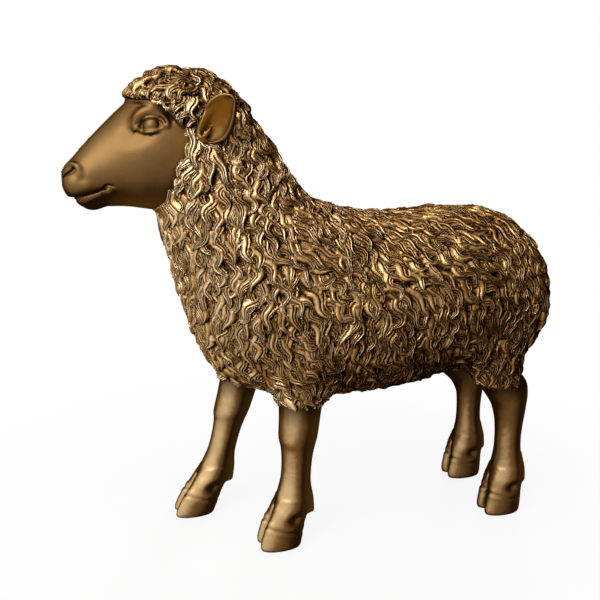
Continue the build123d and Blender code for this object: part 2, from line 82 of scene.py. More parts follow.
class Shade:
    """A value in a shader tree. Python's operators add Math nodes, and node() adds any other."""

    def __init__(self, tree, socket=None):
        self.tree = tree
        self.socket = socket

    def node(self, kind, settings=None, sockets=None, output=0):
        made = self.tree.nodes.new(kind)
        for name, value in (settings or {}).items():
            setattr(made, name, value)
        for name, value in (sockets or {}).items():
            if isinstance(value, Shade):
                self.tree.links.new(value.socket, made.inputs[name])
            else:
                made.inputs[name].default_value = value
        return Shade(self.tree, made.outputs[output]) if made.outputs else made

    def math(self, operation, first, second=0.0, clamp=False):
        settings = {"operation": operation, "use_clamp": clamp}
        return self.node("ShaderNodeMath", settings, {0: first, 1: second})

    def __add__(self, other):
        return self.math("ADD", self, other)

    def __sub__(self, other):
        return self.math("SUBTRACT", self, other)

    def __rsub__(self, other):
        return self.math("SUBTRACT", other, self)

    def __mul__(self, other):
        return self.math("MULTIPLY", self, other)

    __radd__ = __add__
    __rmul__ = __mul__

    def clamped(self):
        return self.math("MULTIPLY", self, 1.0, clamp=True)

    def mix(self, first, second):
        """The first colour where this value is 0 and the second where it is 1."""
        colours = [c if isinstance(c, Shade) else (*c, 1.0) for c in (first, second)]
        settings = {"data_type": "RGBA", "clamp_factor": True}
        return self.node("ShaderNodeMix", settings, {0: self, 6: colours[0], 7: colours[1]}, output=2)


def eased(value, low, high, least=0.0, most=1.0):
    """A value led softly from least, where it is low, to most, where it is high."""
    return value.node("ShaderNodeMapRange", {"interpolation_type": "SMOOTHSTEP"}, {
        "Value": value, "From Min": low, "From Max": high, "To Min": least, "To Max": most})


def shows_white(shade):
    """1 for what the camera sees, also in gloss or through glass, and 0 for what lights the sheep."""
    seen = [shade.node("ShaderNodeLightPath", output=way)
            for way in ("Is Camera Ray", "Is Glossy Ray", "Is Transmission Ray")]
    return (seen[0] + seen[1] + seen[2]).clamped()


def new_material(name):
    """A material with a bare tree, and the shade that adds nodes to it."""
    made = bpy.data.materials.new(name)
    made.use_nodes = True
    made.node_tree.nodes.clear()
    return made, Shade(made.node_tree)


studio_world = bpy.data.worlds.new("studio_world")
studio_world.use_nodes = True
studio_world.node_tree.nodes.clear()
world_shade = Shade(studio_world.node_tree)
ambient_level = 0.34
world_light = world_shade.node("ShaderNodeBackground", None, {
    "Color": (1.0, 1.0, 1.0, 1.0),
    "Strength": shows_white(world_shade) * (1.0 - ambient_level) + ambient_level})
world_shade.node("ShaderNodeOutputWorld", None, {"Surface": world_light})
bpy.context.scene.world = studio_world

floor_reach = 12.0
floor_corners = [(x * floor_reach, y * floor_reach, 0) for x, y in ((-1, -1), (1, -1), (1, 1), (-1, 1))]
floor_mesh = bpy.data.meshes.new("studio_floor")
floor_mesh.from_pydata(floor_corners, [], [(0, 1, 2, 3)])
studio_floor = bpy.data.objects.new("studio_floor", floor_mesh)
bpy.context.scene.collection.objects.link(studio_floor)
floor_material, floor_shade = new_material("floor_paint")
floor_paint = floor_shade.node(
    "ShaderNodeBsdfPrincipled", None, {"Base Color": (0.86, 0.86, 0.86, 1.0), "Roughness": 0.9})
floor_white = floor_shade.node(
    "ShaderNodeEmission", None, {"Color": (1.0, 1.0, 1.0, 1.0), "Strength": 1.0})
floor_place = floor_shade.node("ShaderNodeTexCoord", output="Object")
floor_distance = floor_shade.node(
    "ShaderNodeVectorMath", {"operation": "LENGTH"}, {0: floor_place}, output=1)
# Near the sheep the floor is a little less than white, so that its shadow shows.
floor_share = eased(floor_distance, 0.25, 0.6, 0.88, 1.0) * shows_white(floor_shade)
floor_mix = floor_shade.node("ShaderNodeMixShader", None, {0: floor_share, 1: floor_paint, 2: floor_white})
floor_shade.node("ShaderNodeOutputMaterial", None, {"Surface": floor_mix})
floor_mesh.materials.append(floor_material)


# Legs: four bare castings below the fleece, with knees, fetlocks, two dewclaws behind and a cloven
# hoof with a fold of skin above it. Each is cast in one with its spigot into the trunk, sprayed dark
# brown, and coated with gold paint that is rubbed thin in places, under a clear lacquer. The paint
# also carries painted light: pale where it faces the light, dark brown where it faces away, and
# painted shade in the creases and under the wool.

# All skins are worked out in millimetres, from the head's joint with the neck.
MM = 0.001
nose_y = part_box("head_casting")[0].y / MM
head_y = nose_y + 116.0
head_z = 386.0


def spread(rows, steps):
    """Rows of numbers with smooth in-between rows, on a curve through all of them."""
    rows = np.array(rows, float)
    padded = np.vstack([2 * rows[0] - rows[1], rows, 2 * rows[-1] - rows[-2]])
    made = []
    for i in range(len(rows) - 1):
        before, first, second, after = padded[i:i + 4]
        for t in np.arange(steps) / steps:
            made.append(0.5 * (2 * first + (second - before) * t
                               + (2 * before - 5 * first + 4 * second - after) * t ** 2
                               + (3 * first - before - 3 * second + after) * t ** 3))
    return np.array(made + [rows[-1]])


def space(low, high, step):
    """An open grid of points, in millimetres."""
    return np.ix_(*[np.arange(a, b + step, step, dtype=np.float32) for a, b in zip(low, high)])


def ramp(values, start, full):
    """0 up to the start, 1 from full on, and straight in between."""
    return np.clip((values - start) / (full - start), 0, 1)


def lofted(grid, sections, middle=0.0, steps=6):
    """Distance to a body drawn through oval sections. A section is the lower and upper end of its
    long axis in the side view, its half width, and how much narrower it is towards its upper end."""
    y, z = grid[1][0], grid[2][0]
    y, z = y + 0 * z, z + 0 * y
    rows = spread(sections, steps)
    low, high, shape = rows[:, :2], rows[:, 2:4], rows[:, 4:]
    centre = (low + high) / 2
    reach = np.linalg.norm(high - low, axis=1) / 2
    up = (high - low) / (2 * reach[:, None])
    out = np.stack([-up[:, 1], up[:, 0]], 1)
    way = np.gradient(centre, axis=0)
    out *= np.sign((out * way).sum(1))[:, None]
    offs = [(y - c[0]) * o[0] + (z - c[1]) * o[1] for c, o in zip(centre, out)]
    places = [(y - c[0]) * u[0] + (z - c[1]) * u[1] for c, u in zip(centre, up)]
    last = len(rows) - 2
    best = np.full(y.shape, 1e9)
    found = [np.zeros(y.shape) for _ in range(5)]
    for i in range(last + 1):
        a, b = offs[i], offs[i + 1]
        t = np.clip(a / np.where(a > b, a - b, 1e-6), 0, 1)
        place = places[i] * (1 - t) + places[i + 1] * t
        half = reach[i] * (1 - t) + reach[i + 1] * t
        wide, egg = (shape[i][k] * (1 - t) + shape[i + 1][k] * t for k in (0, 1))
        end = -a if i == 0 else b if i == last else np.full(y.shape, -1e3)
        gap = np.hypot(np.maximum(np.abs(place) - half, 0), np.maximum(np.maximum(-a, b), 0))
        nearer = gap < best
        best = np.where(nearer, gap, best)
        found = [np.where(nearer, new, old) for new, old in zip((place, half, wide, egg, end), found)]
    along, half, wide, egg, end = (part.astype(np.float32)[None] for part in found)
    share = np.clip(along / half, -2, 2)
    body = np.sqrt(share ** 2 + ((grid[0] - middle) / (wide * (1 - egg * share))) ** 2) - 1
    return np.maximum(body * np.minimum(half, wide), end)


def blend(first, second, soft):
    """The two bodies joined, with the crease between them filled softly."""
    near = np.maximum(soft - np.abs(first - second), 0) / soft
    return np.minimum(first, second) - near * near * soft / 4


def carve(body, tool, soft):
    """The body less the tool, with the edge between them softened."""
    return -blend(-body, tool, soft)


def net(field, grid):
    """Points and four-sided faces of the skin where a field of distances is zero."""
    low = np.array([axis.ravel()[0] for axis in grid])
    step = float(grid[0].ravel()[1] - grid[0].ravel()[0])
    inside = field < 0
    sizes = tuple(n - 1 for n in field.shape)
    count = np.zeros(sizes, np.int8)
    corners = [(i, j, k) for i in (0, 1) for j in (0, 1) for k in (0, 1)]
    for i, j, k in corners:
        count += inside[i:i + sizes[0], j:j + sizes[1], k:k + sizes[2]]
    cells = np.argwhere((count > 0) & (count < 8))
    numbers = np.full(sizes, -1, np.int64)
    numbers[tuple(cells.T)] = np.arange(len(cells))
    total, hits = np.zeros((len(cells), 3)), np.zeros((len(cells), 1))
    for start in corners:
        for axis in range(3):
            if start[axis]:
                continue
            stop = tuple(v + (n == axis) for n, v in enumerate(start))
            first, second = field[tuple((cells + start).T)], field[tuple((cells + stop).T)]
            crossing = (first < 0) != (second < 0)
            share = np.where(crossing, first / np.where(crossing, first - second, 1), 0)
            point = np.array(start, float) + share[:, None] * (np.array(stop) - np.array(start))
            total += point * crossing[:, None]
            hits += crossing[:, None]
    points = low + (cells + total / hits) * step
    faces = []
    for axis in range(3):
        one, two = [n for n in range(3) if n != axis]
        front, back = [slice(None)] * 3, [slice(None)] * 3
        front[axis], back[axis] = slice(0, -1), slice(1, None)
        where = np.argwhere(inside[tuple(front)] != inside[tuple(back)])
        where = where[(where[:, one] > 0) & (where[:, two] > 0)]
        where = where[(where[:, one] < sizes[one]) & (where[:, two] < sizes[two])]
        ring = []
        for d1, d2 in ((0, 0), (-1, 0), (-1, -1), (0, -1)):
            cell = where.copy()
            cell[:, one] += d1
            cell[:, two] += d2
            ring.append(numbers[tuple(cell.T)])
        quads = np.stack(ring, 1)
        turn = inside[tuple(where.T)] ^ (axis == 1)
        faces.append(np.where(turn[:, None], quads, quads[:, ::-1]))
    return points, np.vstack(faces)


def ball(grid, middle, radius, squash=(1.0, 1.0, 1.0)):
    """Distance to a ball or an egg."""
    parts = [(axis - m) / s for axis, m, s in zip(grid, middle, squash)]
    return np.sqrt(parts[0] ** 2 + parts[1] ** 2 + parts[2] ** 2) - radius


def make_piece(name, points, faces, material, values):
    """A smooth-shaded piece from points in millimetres, lists of faces, and named values at points."""
    mesh = bpy.data.meshes.new(name)
    mesh.vertices.add(len(points))
    mesh.vertices.foreach_set("co", (np.asarray(points) * MM).astype(np.float32).ravel())
    loops = np.concatenate([f.ravel() for f in faces]).astype(np.int32)
    sizes = np.concatenate([np.full(len(f), f.shape[1]) for f in faces]).astype(np.int32)
    mesh.loops.add(len(loops))
    mesh.loops.foreach_set("vertex_index", loops)
    mesh.polygons.add(len(sizes))
    mesh.polygons.foreach_set("loop_start", np.concatenate([[0], np.cumsum(sizes)[:-1]]).astype(np.int32))
    mesh.polygons.foreach_set("loop_total", sizes)
    mesh.update(calc_edges=True)
    mesh.validate()
    mesh.shade_smooth()
    for key, numbers in values.items():
        mesh.attributes.new(key, "FLOAT", "POINT").data.foreach_set(
            "value", np.asarray(numbers, np.float32))
    mesh.materials.append(material)
    piece = bpy.data.objects.new(name, mesh)
    bpy.context.scene.collection.objects.link(piece)
    return piece


def stored(shade, name):
    """A value that the mesh holds at its points or at the corners of its faces."""
    return shade.node("ShaderNodeAttribute", {"attribute_name": name}, output="Fac")


def noise(place, scale, detail, roughness, distortion=0.0):
    """A cloudy value about 0.5."""
    return place.node("ShaderNodeTexNoise", None, {
        "Vector": place, "Scale": scale, "Detail": detail, "Roughness": roughness, "Distortion": distortion})


def facing(normal, way):
    """How far a normal points one way, from -1 to 1."""
    settings = {"operation": "DOT_PRODUCT"}
    return normal.node("ShaderNodeVectorMath", settings, {0: normal, 1: way}, output="Value")


def coat_with(shade, sockets):
    """Ends a material with one Principled shader."""
    coat = shade.node("ShaderNodeBsdfPrincipled", None, sockets)
    shade.node("ShaderNodeOutputMaterial", None, {"Surface": coat})


def satin_gold(name, painted_highlight, bright, dark, amber, blotch_size, shine, toward, steep=1.5):
    """Satin gold with painted light: pale where it faces one way or its mirror image, dark brown where it
    faces away and towards the back, a painted highlight colour on top, painted shade in creases, worn
    blotches, a fine sprayed grain, and amber in the warm places. Blotches are measured in metres."""
    made, shade = new_material(name)
    place = shade.node("ShaderNodeTexCoord", output="Object")
    painted_shade, warm = stored(shade, "painted_shade"), stored(shade, "warm")
    broad = noise(place, 1 / blotch_size, 5.0, 0.62)
    cloud = noise(place, 3.1 / blotch_size, 6.0, 0.7, 0.6)
    grain = noise(place, 900.0, 3.0, 0.6)
    rub = noise(place, 120.0, 4.0, 0.55)
    bump = shade.node("ShaderNodeBump", None, {
        "Strength": 0.25, "Distance": 0.0004, "Height": grain * 0.35 + rub * 0.65})
    # Painted light and shade: pale where the surface faces the given way or its mirror image, dark brown
    # where it faces away, and darker towards the back. Real worn blotches from the noise are mixed in, and
    # the most lit places get a painted highlight colour.
    mirrored = (-toward[0], abs(toward[1]), toward[2])
    lit = shade.math("MAXIMUM", facing(bump, toward), facing(bump, mirrored))
    back = shade.node("ShaderNodeSeparateXYZ", None, {0: place}, output="Y")
    light_and_wear = (lit * steep + (broad * 0.6 + cloud * 0.4 - 0.5) * 0.9
            + (shine + 0.94 - steep * 0.9) - back * 0.5)
    low, top = eased(light_and_wear, 0.0, 1.0), eased(light_and_wear, 0.72, 1.3)
    paint = low.mix(dark, bright)
    paint = (warm * 0.8).clamped().mix(paint, amber)
    paint = top.mix(paint, painted_highlight)
    # Painted shade: the stored mask darkens creases and the places under overhangs.
    paint = (painted_shade * 0.9).clamped().mix(paint, tuple(0.3 * c for c in dark))
    coat_with(shade, {
        "Base Color": paint, "Metallic": low * 0.6 + 0.25, "Normal": bump,
        "Roughness": (cloud * 0.14 + grain * 0.08 + painted_shade * 0.2 + 0.33).clamped(),
        "Specular IOR Level": 0.0, "Specular Tint": (0.25, 0.16, 0.09, 1.0)})
    return made


leg_paint = satin_gold(
    "leg_gold", painted_highlight=(0.62, 0.42, 0.205), bright=(0.19, 0.095, 0.029), dark=(0.028, 0.011, 0.003),
    amber=(0.15, 0.075, 0.016), blotch_size=0.03, shine=0.0, toward=(0.75, -0.58, 0.31), steep=2.8)
hem_z = 145.0
# Rings from the top down: height, half depth, half width, and how far the ring's middle lies before
# the leg's axis. For the toes that is a share of their reach, and the dewclaws lie behind the axis.
fore_rings = (
    (162.0, 22.0, 21.0, 0.0), (145.0, 21.0, 20.0, 0.0), (133.9, 20.2, 19.2, 0.0), (122.8, 19.7, 18.8, 0.2),
    (112.8, 19.0, 18.2, 0.4), (103.9, 16.9, 16.2, 0.0), (93.9, 15.5, 14.6, 0.0), (82.8, 14.9, 13.8, 0.0),
    (70.6, 15.1, 14.0, 0.1), (58.4, 16.6, 15.2, 0.9), (47.3, 17.6, 16.4, 2.0), (36.2, 17.0, 16.6, 4.6),
    (26.0, 13.0, 13.0, 6.5),
)
hind_rings = (
    (174.0, 20.0, 20.0, 26.0), (162.0, 22.0, 21.0, 20.0), (152.0, 22.5, 20.6, 12.0), (145.0, 21.5, 20.2, 7.5),
    (133.9, 20.0, 18.9, 4.4), (122.8, 17.4, 17.5, 2.5), (111.7, 16.0, 15.8, 1.8), (99.5, 14.7, 14.1, 1.5),
    (84.5, 14.0, 13.1, 1.4), (69.5, 14.6, 13.6, 1.1), (56.2, 17.0, 15.2, 0.8), (46.2, 18.6, 16.8, 1.5),
    (36.2, 18.2, 17.0, 3.7), (26.0, 14.0, 13.0, 5.0),
)
toe_rings = (
    (50.0, 9.5, 5.4, 0.25), (44.0, 12.4, 6.8, 0.34), (39.0, 15.0, 7.7, 0.48), (28.9, 18.4, 8.4, 0.72),
    (17.0, 20.2, 8.75, 0.92), (7.0, 20.7, 8.6, 1.03), (2.4, 19.9, 8.2, 1.04), (0.7, 18.6, 7.4, 1.04),
)
spur_rings = ((67.0, 4.0, 3.2, 8.6), (53.0, 5.6, 4.6, 11.6), (40.0, 5.6, 4.6, 13.6), (34.0, 4.8, 4.0, 14.6))
toe_middle = 8.0
spur_middle = 6.4


def level_rings(rings, reach=1.0):
    """Level sections, highest first, as lofted() wants them: local Y runs backwards from the axis."""
    return [(-step * reach - half, z, -step * reach + half, z, wide, 0.0) for z, half, wide, step in rings]


def leg_field(grid, rings, toe_reach, spur_reach):
    """One upright leg and its hoof about its own axis."""
    x, y, z = grid
    side = np.abs(x)
    folded = (side, y, z)
    body = lofted(grid, level_rings(rings))
    tendon = np.exp(-((y - 6.5) / 2.6) ** 2 - ((z - 80.0) / 24.0) ** 2)
    body = body + 0.9 * tendon * ramp(side, 0.0, 8.0)
    toe = lofted(folded, level_rings(toe_rings, toe_reach), middle=toe_middle)
    fold_z = 25.5 - 0.26 * (y + toe_reach + 14.0)
    on_toe = ramp(side, 1.5, 4.5) * ramp(y, 12.0, 4.0)
    for depth, above, span in ((0.35, 0.0, 1.6), (-0.35, 4.0, 2.8), (-0.3, -3.4, 2.4)):
        toe = toe + on_toe * depth * np.exp(-((z - fold_z - above) / span) ** 2)
    hoof = blend(body, toe, 7.0)
    cleft = np.maximum(side - 0.55 - 0.035 * np.maximum(34.0 - z, 0), (z - 43.0) * 0.7)
    cleft = np.maximum(cleft, y + 2.0 - (43.0 - z) * 0.25)
    hoof = carve(hoof, cleft, 2.2)
    hoof = carve(hoof, ball(folded, (17.5, -1.0, 33.0), 2.0, (1.0, 1.3, 1.0)), 9.0)
    spur = lofted(folded, level_rings(spur_rings, -spur_reach), middle=spur_middle)
    spur = np.maximum(spur, 36.0 - z)
    return np.maximum(blend(hoof, spur, 3.0), 0.3 - z)


leg_grid = space((-24, -52, -1.2), (24, 28, 172), 1.2)
fore_skin = net(leg_field(leg_grid, fore_rings, toe_reach=12.5, spur_reach=1.0), leg_grid)
hind_skin = net(leg_field(leg_grid, hind_rings, toe_reach=7.5, spur_reach=13.4 / 14.6), leg_grid)
# Each leg: its skin, its place to the left of the middle and behind the head's joint, its rake in
# degrees, and how much the thigh flares forwards below the wool.
leg_places = {
    "front_left_leg": (fore_skin, 43.5, 88.5, 3.7, 0.0),
    "front_right_leg": (fore_skin, -43.5, 46.0, 15.6, 0.0),
    "rear_left_leg": (hind_skin, 43.5, 321.0, 0.0, 0.0045),
    "rear_right_leg": (hind_skin, -43.5, 323.0, 0.0, 0.0148),
}
for name, ((points, faces), across, back, rake, flare) in leg_places.items():
    side, y, z = np.abs(points[:, 0]), points[:, 1], points[:, 2]
    placed = points + np.array([across, head_y + back, 0.0])
    placed[:, 1] -= (hem_z - z) * math.tan(math.radians(rake))
    flare = flare * np.clip(z - 100.0, 0, 46) ** 2 * ramp(z, 162.0, 148.0)
    placed[:, 1] -= flare * ramp(y, 4.0, -16.0)
    # Painted shade: darker in the hoof's cleft, along the fold above the hoof, on the sole, under the dewclaw
    # and below the wool's hem.
    cleft = ramp(side, 3.2, 0.0) * ramp(z, 44.0, 34.0) * ramp(y, 4.0, -2.0)
    fold_z = 25.5 - 0.26 * (y + 26.0)
    crease = np.exp(-((z - fold_z) / 1.2) ** 2) * ramp(y, 12.0, 4.0)
    sole = ramp(z, 3.0, 0.5)
    under_spur = np.exp(-((z - 32.0) / 3.0) ** 2) * ramp(y, 6.0, 10.0)
    under_hem = ramp(z, 130.0, 148.0)
    painted_shade = np.maximum.reduce([0.6 * cleft, 0.25 * crease, sole, 0.35 * under_spur, 0.8 * under_hem])
    warm = 0.7 * ramp(y, 2.0, 16.0)
    leg = make_piece(
        name.replace("_leg", "_bare_leg"), placed, [faces], leg_paint, {"painted_shade": painted_shade, "warm": warm})
    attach(leg, "root")
    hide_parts(name)


# Head: the bare face, cast in one from the joint with the neck to the nose, with lidded eyes, comma
# nostrils over full lips, and a soft chin. It is painted like the legs, with painted shade under the jaw.
head_paint = satin_gold(
    "face_gold", painted_highlight=(0.19, 0.11, 0.042), bright=(0.145, 0.073, 0.023), dark=(0.024, 0.009, 0.0025),
    amber=(0.22, 0.10, 0.014), blotch_size=0.045, shine=0.0, toward=(0.80, -0.52, 0.28), steep=2.4)
# Rings from the joint forwards: place, lowest and highest point, half width, and narrowing upwards.
head_rings = (
    (-22, -53.5, 57.0, 40.0, 0.0), (0, -57.5, 62.5, 40.9, 0.0), (25, -56.0, 59.6, 39.1, 0.03),
    (45, -53.0, 50.1, 34.8, 0.08), (62, -50.5, 36.5, 28.8, 0.13), (80, -50.0, 19.8, 23.9, 0.17),
    (95, -49.0, 4.6, 21.3, 0.18), (105, -45.0, -6.4, 18.6, 0.15), (112, -40.0, -13.6, 13.6, 0.10),
    (115.4, -33.0, -19.9, 7.0, 0.0),
)
eye_middle = np.array([27.6, 37.6, 18.6])
eyeball = 8.6
eye_out = np.array([0.93, 0.33, 0.16])
eye_along = np.array([0.30, -0.94, 0.10])
eye_out /= np.linalg.norm(eye_out)
eye_along -= eye_out * (eye_along @ eye_out)
eye_along /= np.linalg.norm(eye_along)
eye_up = np.cross(eye_out, eye_along)
eye_up *= np.sign(eye_up[2])


def rope(grid, path, radius=0.0, smooth=True):
    """Distance to a rope along a path; radius may be one number or one for each point."""
    path = np.asarray(path, float)
    rows = np.column_stack([path, np.broadcast_to(radius, len(path))])
    rows = spread(rows, 4) if smooth and 2 < len(rows) < 8 else rows
    best = 1e9
    for a, b, ra, rb in zip(rows[:-1, :3], rows[1:, :3], rows[:-1, 3], rows[1:, 3]):
        d = b - a
        t = np.clip(sum((axis - o) * v for axis, o, v in zip(grid, a, d)) / (d @ d), 0, 1)
        gap = np.sqrt(sum((axis - o - t * v) ** 2 for axis, o, v in zip(grid, a, d)))
        best = np.minimum(best, gap - (ra + (rb - ra) * t))
    return best


def on_eye(angles, half_long, half_high, lift):
    """Points on a ring round the eye, an almond that lies on the ball."""
    points = []
    for angle in angles:
        a = half_long * math.cos(angle)
        b = half_high * math.copysign(abs(math.sin(angle)) ** 1.2, math.sin(angle))
        out = math.sqrt(max((eyeball + lift) ** 2 - min(a * a + b * b, 70.0), 4.0))
        points.append(eye_middle + eye_along * a + eye_up * b + eye_out * out)
    return points


def face_field(grid, eyes=False):
    """The head in its own frame: X from the middle, Y forwards from the joint and Z up from it."""
    f, h = grid[1:]
    face = lofted(grid, [(fwd, low, fwd, high, wide, egg) for fwd, low, high, wide, egg in head_rings])
    mouth_h = np.interp(f, (78, 82.5, 87, 97, 105, 113), (-32.0, -34.0, -36.0, -38.8, -41.2, -42.6))
    face = face + ramp(mouth_h - h, 0.0, 2.0) * 2.6 * ramp(f, 97.0, 106.0) ** 1.5
    # The pad of the muzzle, the chin and the corner of the mouth.
    for middle, radius, squash, soft in (
            ((9.5, 103.2, -29.4), 9.9, (1, 1, 1), 4.0), ((0, 91.0, -42.2), 10.4, (1.15, 1, 1), 6.0),
            ((20.0, 75.8, -35.2), 3.5, (1, 1, 1), 2.8)):
        face = blend(face, ball(grid, middle, radius, squash), soft)
    # The lower lip, the upper lip, the roll over the nostril and the brow.
    for path, radii, soft in (
            (((0, 100.5, -44.2), (8, 99, -43.6), (14.6, 93, -41.5), (18, 84, -38)),
             (3.9, 3.9, 3.6, 2.6), 3.0),
            (((17, 86, -30), (17.5, 95, -31), (14, 104, -34.5)), (3.6, 4.0, 3.8), 4.0),
            (((9, 109.4, -12.4), (14.2, 105.6, -12.0), (17.6, 101, -14.8), (17.8, 99.4, -20)),
             (0.8, 1.2, 1.2, 0.8), 6.0),
            (((25.5, 53, 19), (27, 48, 27.5), (28.8, 39, 31.6), (31.5, 29, 29), (35, 21, 22)),
             (2.6, 4.3, 5.0, 4.2, 1.6), 7.0)):
        face = blend(face, rope(grid, path, radii), soft)
    face = face + 2.3 * np.exp(-((h - mouth_h) / 0.85) ** 2) * ramp(f, 77.0, 80.0)
    # The crease at the mouth's corner, the comma of the nostril, the line from it down to the lip, and
    # the cleft in the middle.
    for path, radii, soft in (
            (((21, 80.6, -33), (22.8, 77.5, -30.8), (23.6, 73, -31.2)), (1.0, 1.0, 0.6), 2.0),
            (((15.4, 104.2, -17.2), (14.2, 107.4, -19.6), (10.4, 112, -22.6), (8, 114, -24.6)),
             (2.0, 2.1, 1.4, 0.8), 1.6),
            (((8, 114.4, -24.6), (7, 114.4, -29), (7.2, 113.2, -34), (7.6, 110.6, -39.5)),
             (0.5, 0.5, 0.5, 0.4), 1.4),
            (((0, 116.6, -23), (0, 115.6, -30), (0, 112.6, -41)), (1.0, 1.3, 1.3), 2.0)):
        face = carve(face, rope(grid, path, radii), soft)
    # The hollows behind the brow and in front of the eye, and the ridge along the edge of the wool.
    face = carve(face, ball(grid, (43.5, 24.0, 31.0), 8.6, (1.0, 1.2, 1.0)), 9.0)
    face = carve(face, ball(grid, (33.0, 63.0, 14.0), 5.6, (0.8, 2.0, 1.0)), 12.0)
    face = blend(face, rope(grid, (
        (0, 56, 40.9), (10, 55.2, 40.5), (20, 49, 40.0), (30, 39.2, 38.8), (35.2, 29, 36.6),
        (38.2, 22, 29), (40, 14, 20)), 1.5), 4.0)
    if not eyes:
        return face
    # The eyeball in its socket, the two lids, the skin and the fold over them, and the tear duct.
    face = carve(face, ball(grid, eye_middle + eye_out * 4.2, 7.2), 2.4)
    face = blend(face, ball(grid, eye_middle, eyeball), 0.5)
    face = blend(face, rope(grid, on_eye(upper_span, 11.6, 6.6, 0.9), 1.1), 0.6)
    face = blend(face, rope(grid, on_eye(lower_span, 11.6, 5.8, 0.6), 1.7), 1.8)
    face = blend(face, rope(grid, on_eye(upper_span, 14.2, 10.4, 0.8), 1.8), 3.0)
    face = carve(face, rope(grid, on_eye(fold_span, 13.2, 8.9, 1.3), 0.7), 0.9)
    face = blend(face, ball(grid, eye_corner, 1.5), 0.8)
    return carve(face, rope(grid, tear_line, (1.0, 0.5)), 1.0)


upper_span = np.linspace(-0.2, math.pi + 0.2, 25)
lower_span = np.linspace(math.pi - 0.1, 2 * math.pi + 0.1, 25)
fold_span = np.linspace(0.10, math.pi - 0.25, 21)
eye_corner = eye_middle - eye_along * 12.2 + eye_out * 3.2 - eye_up * 1.8
tear_line = (eye_corner - eye_along * 0.6 - eye_up * 1.4 + eye_out,
             eye_corner - eye_along * 5 - eye_up * 4.2 + eye_out)


def both_sides(grid, eyes=False):
    """The skin of the head over a grid that starts at the middle, and its mirror image."""
    field = face_field(grid, eyes)
    reach = grid[0].ravel()
    if reach[0] > 0:
        points, quads = net(field, grid)
        return np.vstack([points, points * (-1, 1, 1)]), np.vstack([quads, quads[:, ::-1] + len(points)])
    across = np.concatenate([-reach[:0:-1], reach])[:, None, None]
    return net(np.concatenate([field[:0:-1], field]), (across,) + grid[1:])


def to_left(points):
    """The points, with those of the right side mirrored to the left."""
    return np.abs(points * (1, 0, 0)) + points * (0, 1, 1)


def crease_shade(points, lines):
    """Painted shade at each point, from its distance to lines drawn in the creases, and their widths."""
    tone = np.zeros(len(points))
    for path, width in lines:
        tone = np.maximum(tone, ramp(rope(points.T, path, smooth=False), width, 0.0))
    return tone


def wool_border(heights, throat):
    """How far before the joint the wool ends at each height above it, with two values at the throat."""
    return np.interp(heights, (-53.5, -46, -34, -17.4, -0.8, 9.4, 22, 31, 38.5, 40.2, 41.6),
                     (*throat, 22, 15.6, 8.5, 5, 14, 22, 28, 38, 53.5))


# The eyes and the muzzle have a finer net, which overlaps the coarse one by a millimetre.
overlap = 1.0
fine_boxes = (
    ((13.0, 19.0, 2.0), (45.0, 57.0, 37.0), 0.5, True),
    ((0.0, 71.0, -56.0), (28.0, 118.0, -6.0), 0.65, False),
)
face_local, face_quads = both_sides(space((0, -16, -60), (44, 118, 66), 1.1))
for low, high, step, eyes in fine_boxes:
    local = to_left(face_local)
    inner = [edge + overlap if edge else -overlap for edge in low]
    within = ((local > inner) & (local < np.array(high) - overlap)).all(1)
    face_quads = face_quads[~within[face_quads].all(1)]
    points, quads = both_sides(space(low, high, step), eyes)
    face_quads = np.vstack([face_quads, quads + len(face_local)])
    face_local = np.vstack([face_local, points])
face_points = np.array([0.0, head_y, head_z]) + face_local * (1, -1, 1)
local = to_left(face_local)
fwd, high = local[:, 1], local[:, 2]
# Lines of painted shade along the mouth, the lower lip, the nostril and the line below it, round the eye, in
# its fold and along the tear duct, with their widths.
dark_lines = (
    (((14.6, 97, -38.6), (8, 105, -41), (0, 107, -42)), 1.6),
    (((17.5, 87, -36), (14.6, 97, -38.6)), 1.6), (((19, 79, -32.5), (17.5, 87, -36)), 1.5),
    (((15.8, 104.6, -17.2), (14.2, 108.6, -19.6), (10.4, 112, -22.6), (8, 114, -24.6)), 2.9),
    (((8, 114, -24.6), (7.0, 114, -30), (7.4, 112, -38)), 1.3),
    (on_eye(np.linspace(0, 2 * math.pi, 33), 10.0, 5.0, 0.2), 0.8),
    (on_eye(fold_span, 13.2, 8.9, 1.3), 1.1), (tear_line, 1.2),
)
# Painted shade behind the brow, under the crown's wool, along the edge of the wool and under the jaw.
behind_brow = ramp(np.linalg.norm((local - (40, 27, 30)) / (9, 13, 10), axis=1), 1.0, 0.0)
under_crown = ramp(high, 36.0, 44.0) * ramp(fwd, 58.0, 48.0)
by_wool = ramp(fwd - wool_border(np.minimum(high, 31.0), (44, 31)), 9.0, 0.0)
jaw = ramp(high, -24.0, -46.0) * ramp(fwd, 84.0, 66.0)
painted_shade = np.maximum.reduce([
    crease_shade(local, dark_lines), 0.9 * behind_brow, 0.5 * under_crown, 0.6 * by_wool, 0.45 * jaw])
cheek = ramp(fwd, 24.0, 10.0) * ramp(high, 24.0, 14.0)
throat = ramp(high, -34.0, -48.0) * ramp(fwd, 80.0, 60.0)
face_piece = make_piece(
    "face", face_points, [face_quads[:, ::-1]], head_paint,
    {"painted_shade": painted_shade, "warm": np.maximum(cheek, 0.8 * throat)})
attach(face_piece, "root")
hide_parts("head_casting")


# Ears: two leaf-shaped castings with a spigot in the head. The rim is a soft roll that opens towards
# the root, where a fold of skin stands in the cup; the cup is painted a warmer amber.
ear_paint = satin_gold(
    "ear_gold", painted_highlight=(0.50, 0.30, 0.11), bright=(0.19, 0.092, 0.026), dark=(0.028, 0.011, 0.003),
    amber=(0.175, 0.072, 0.007), blotch_size=0.03, shine=-0.12, toward=(0.62, -0.64, 0.45))
ear_root = np.array([40.0, head_y + 3.6, 396.6])
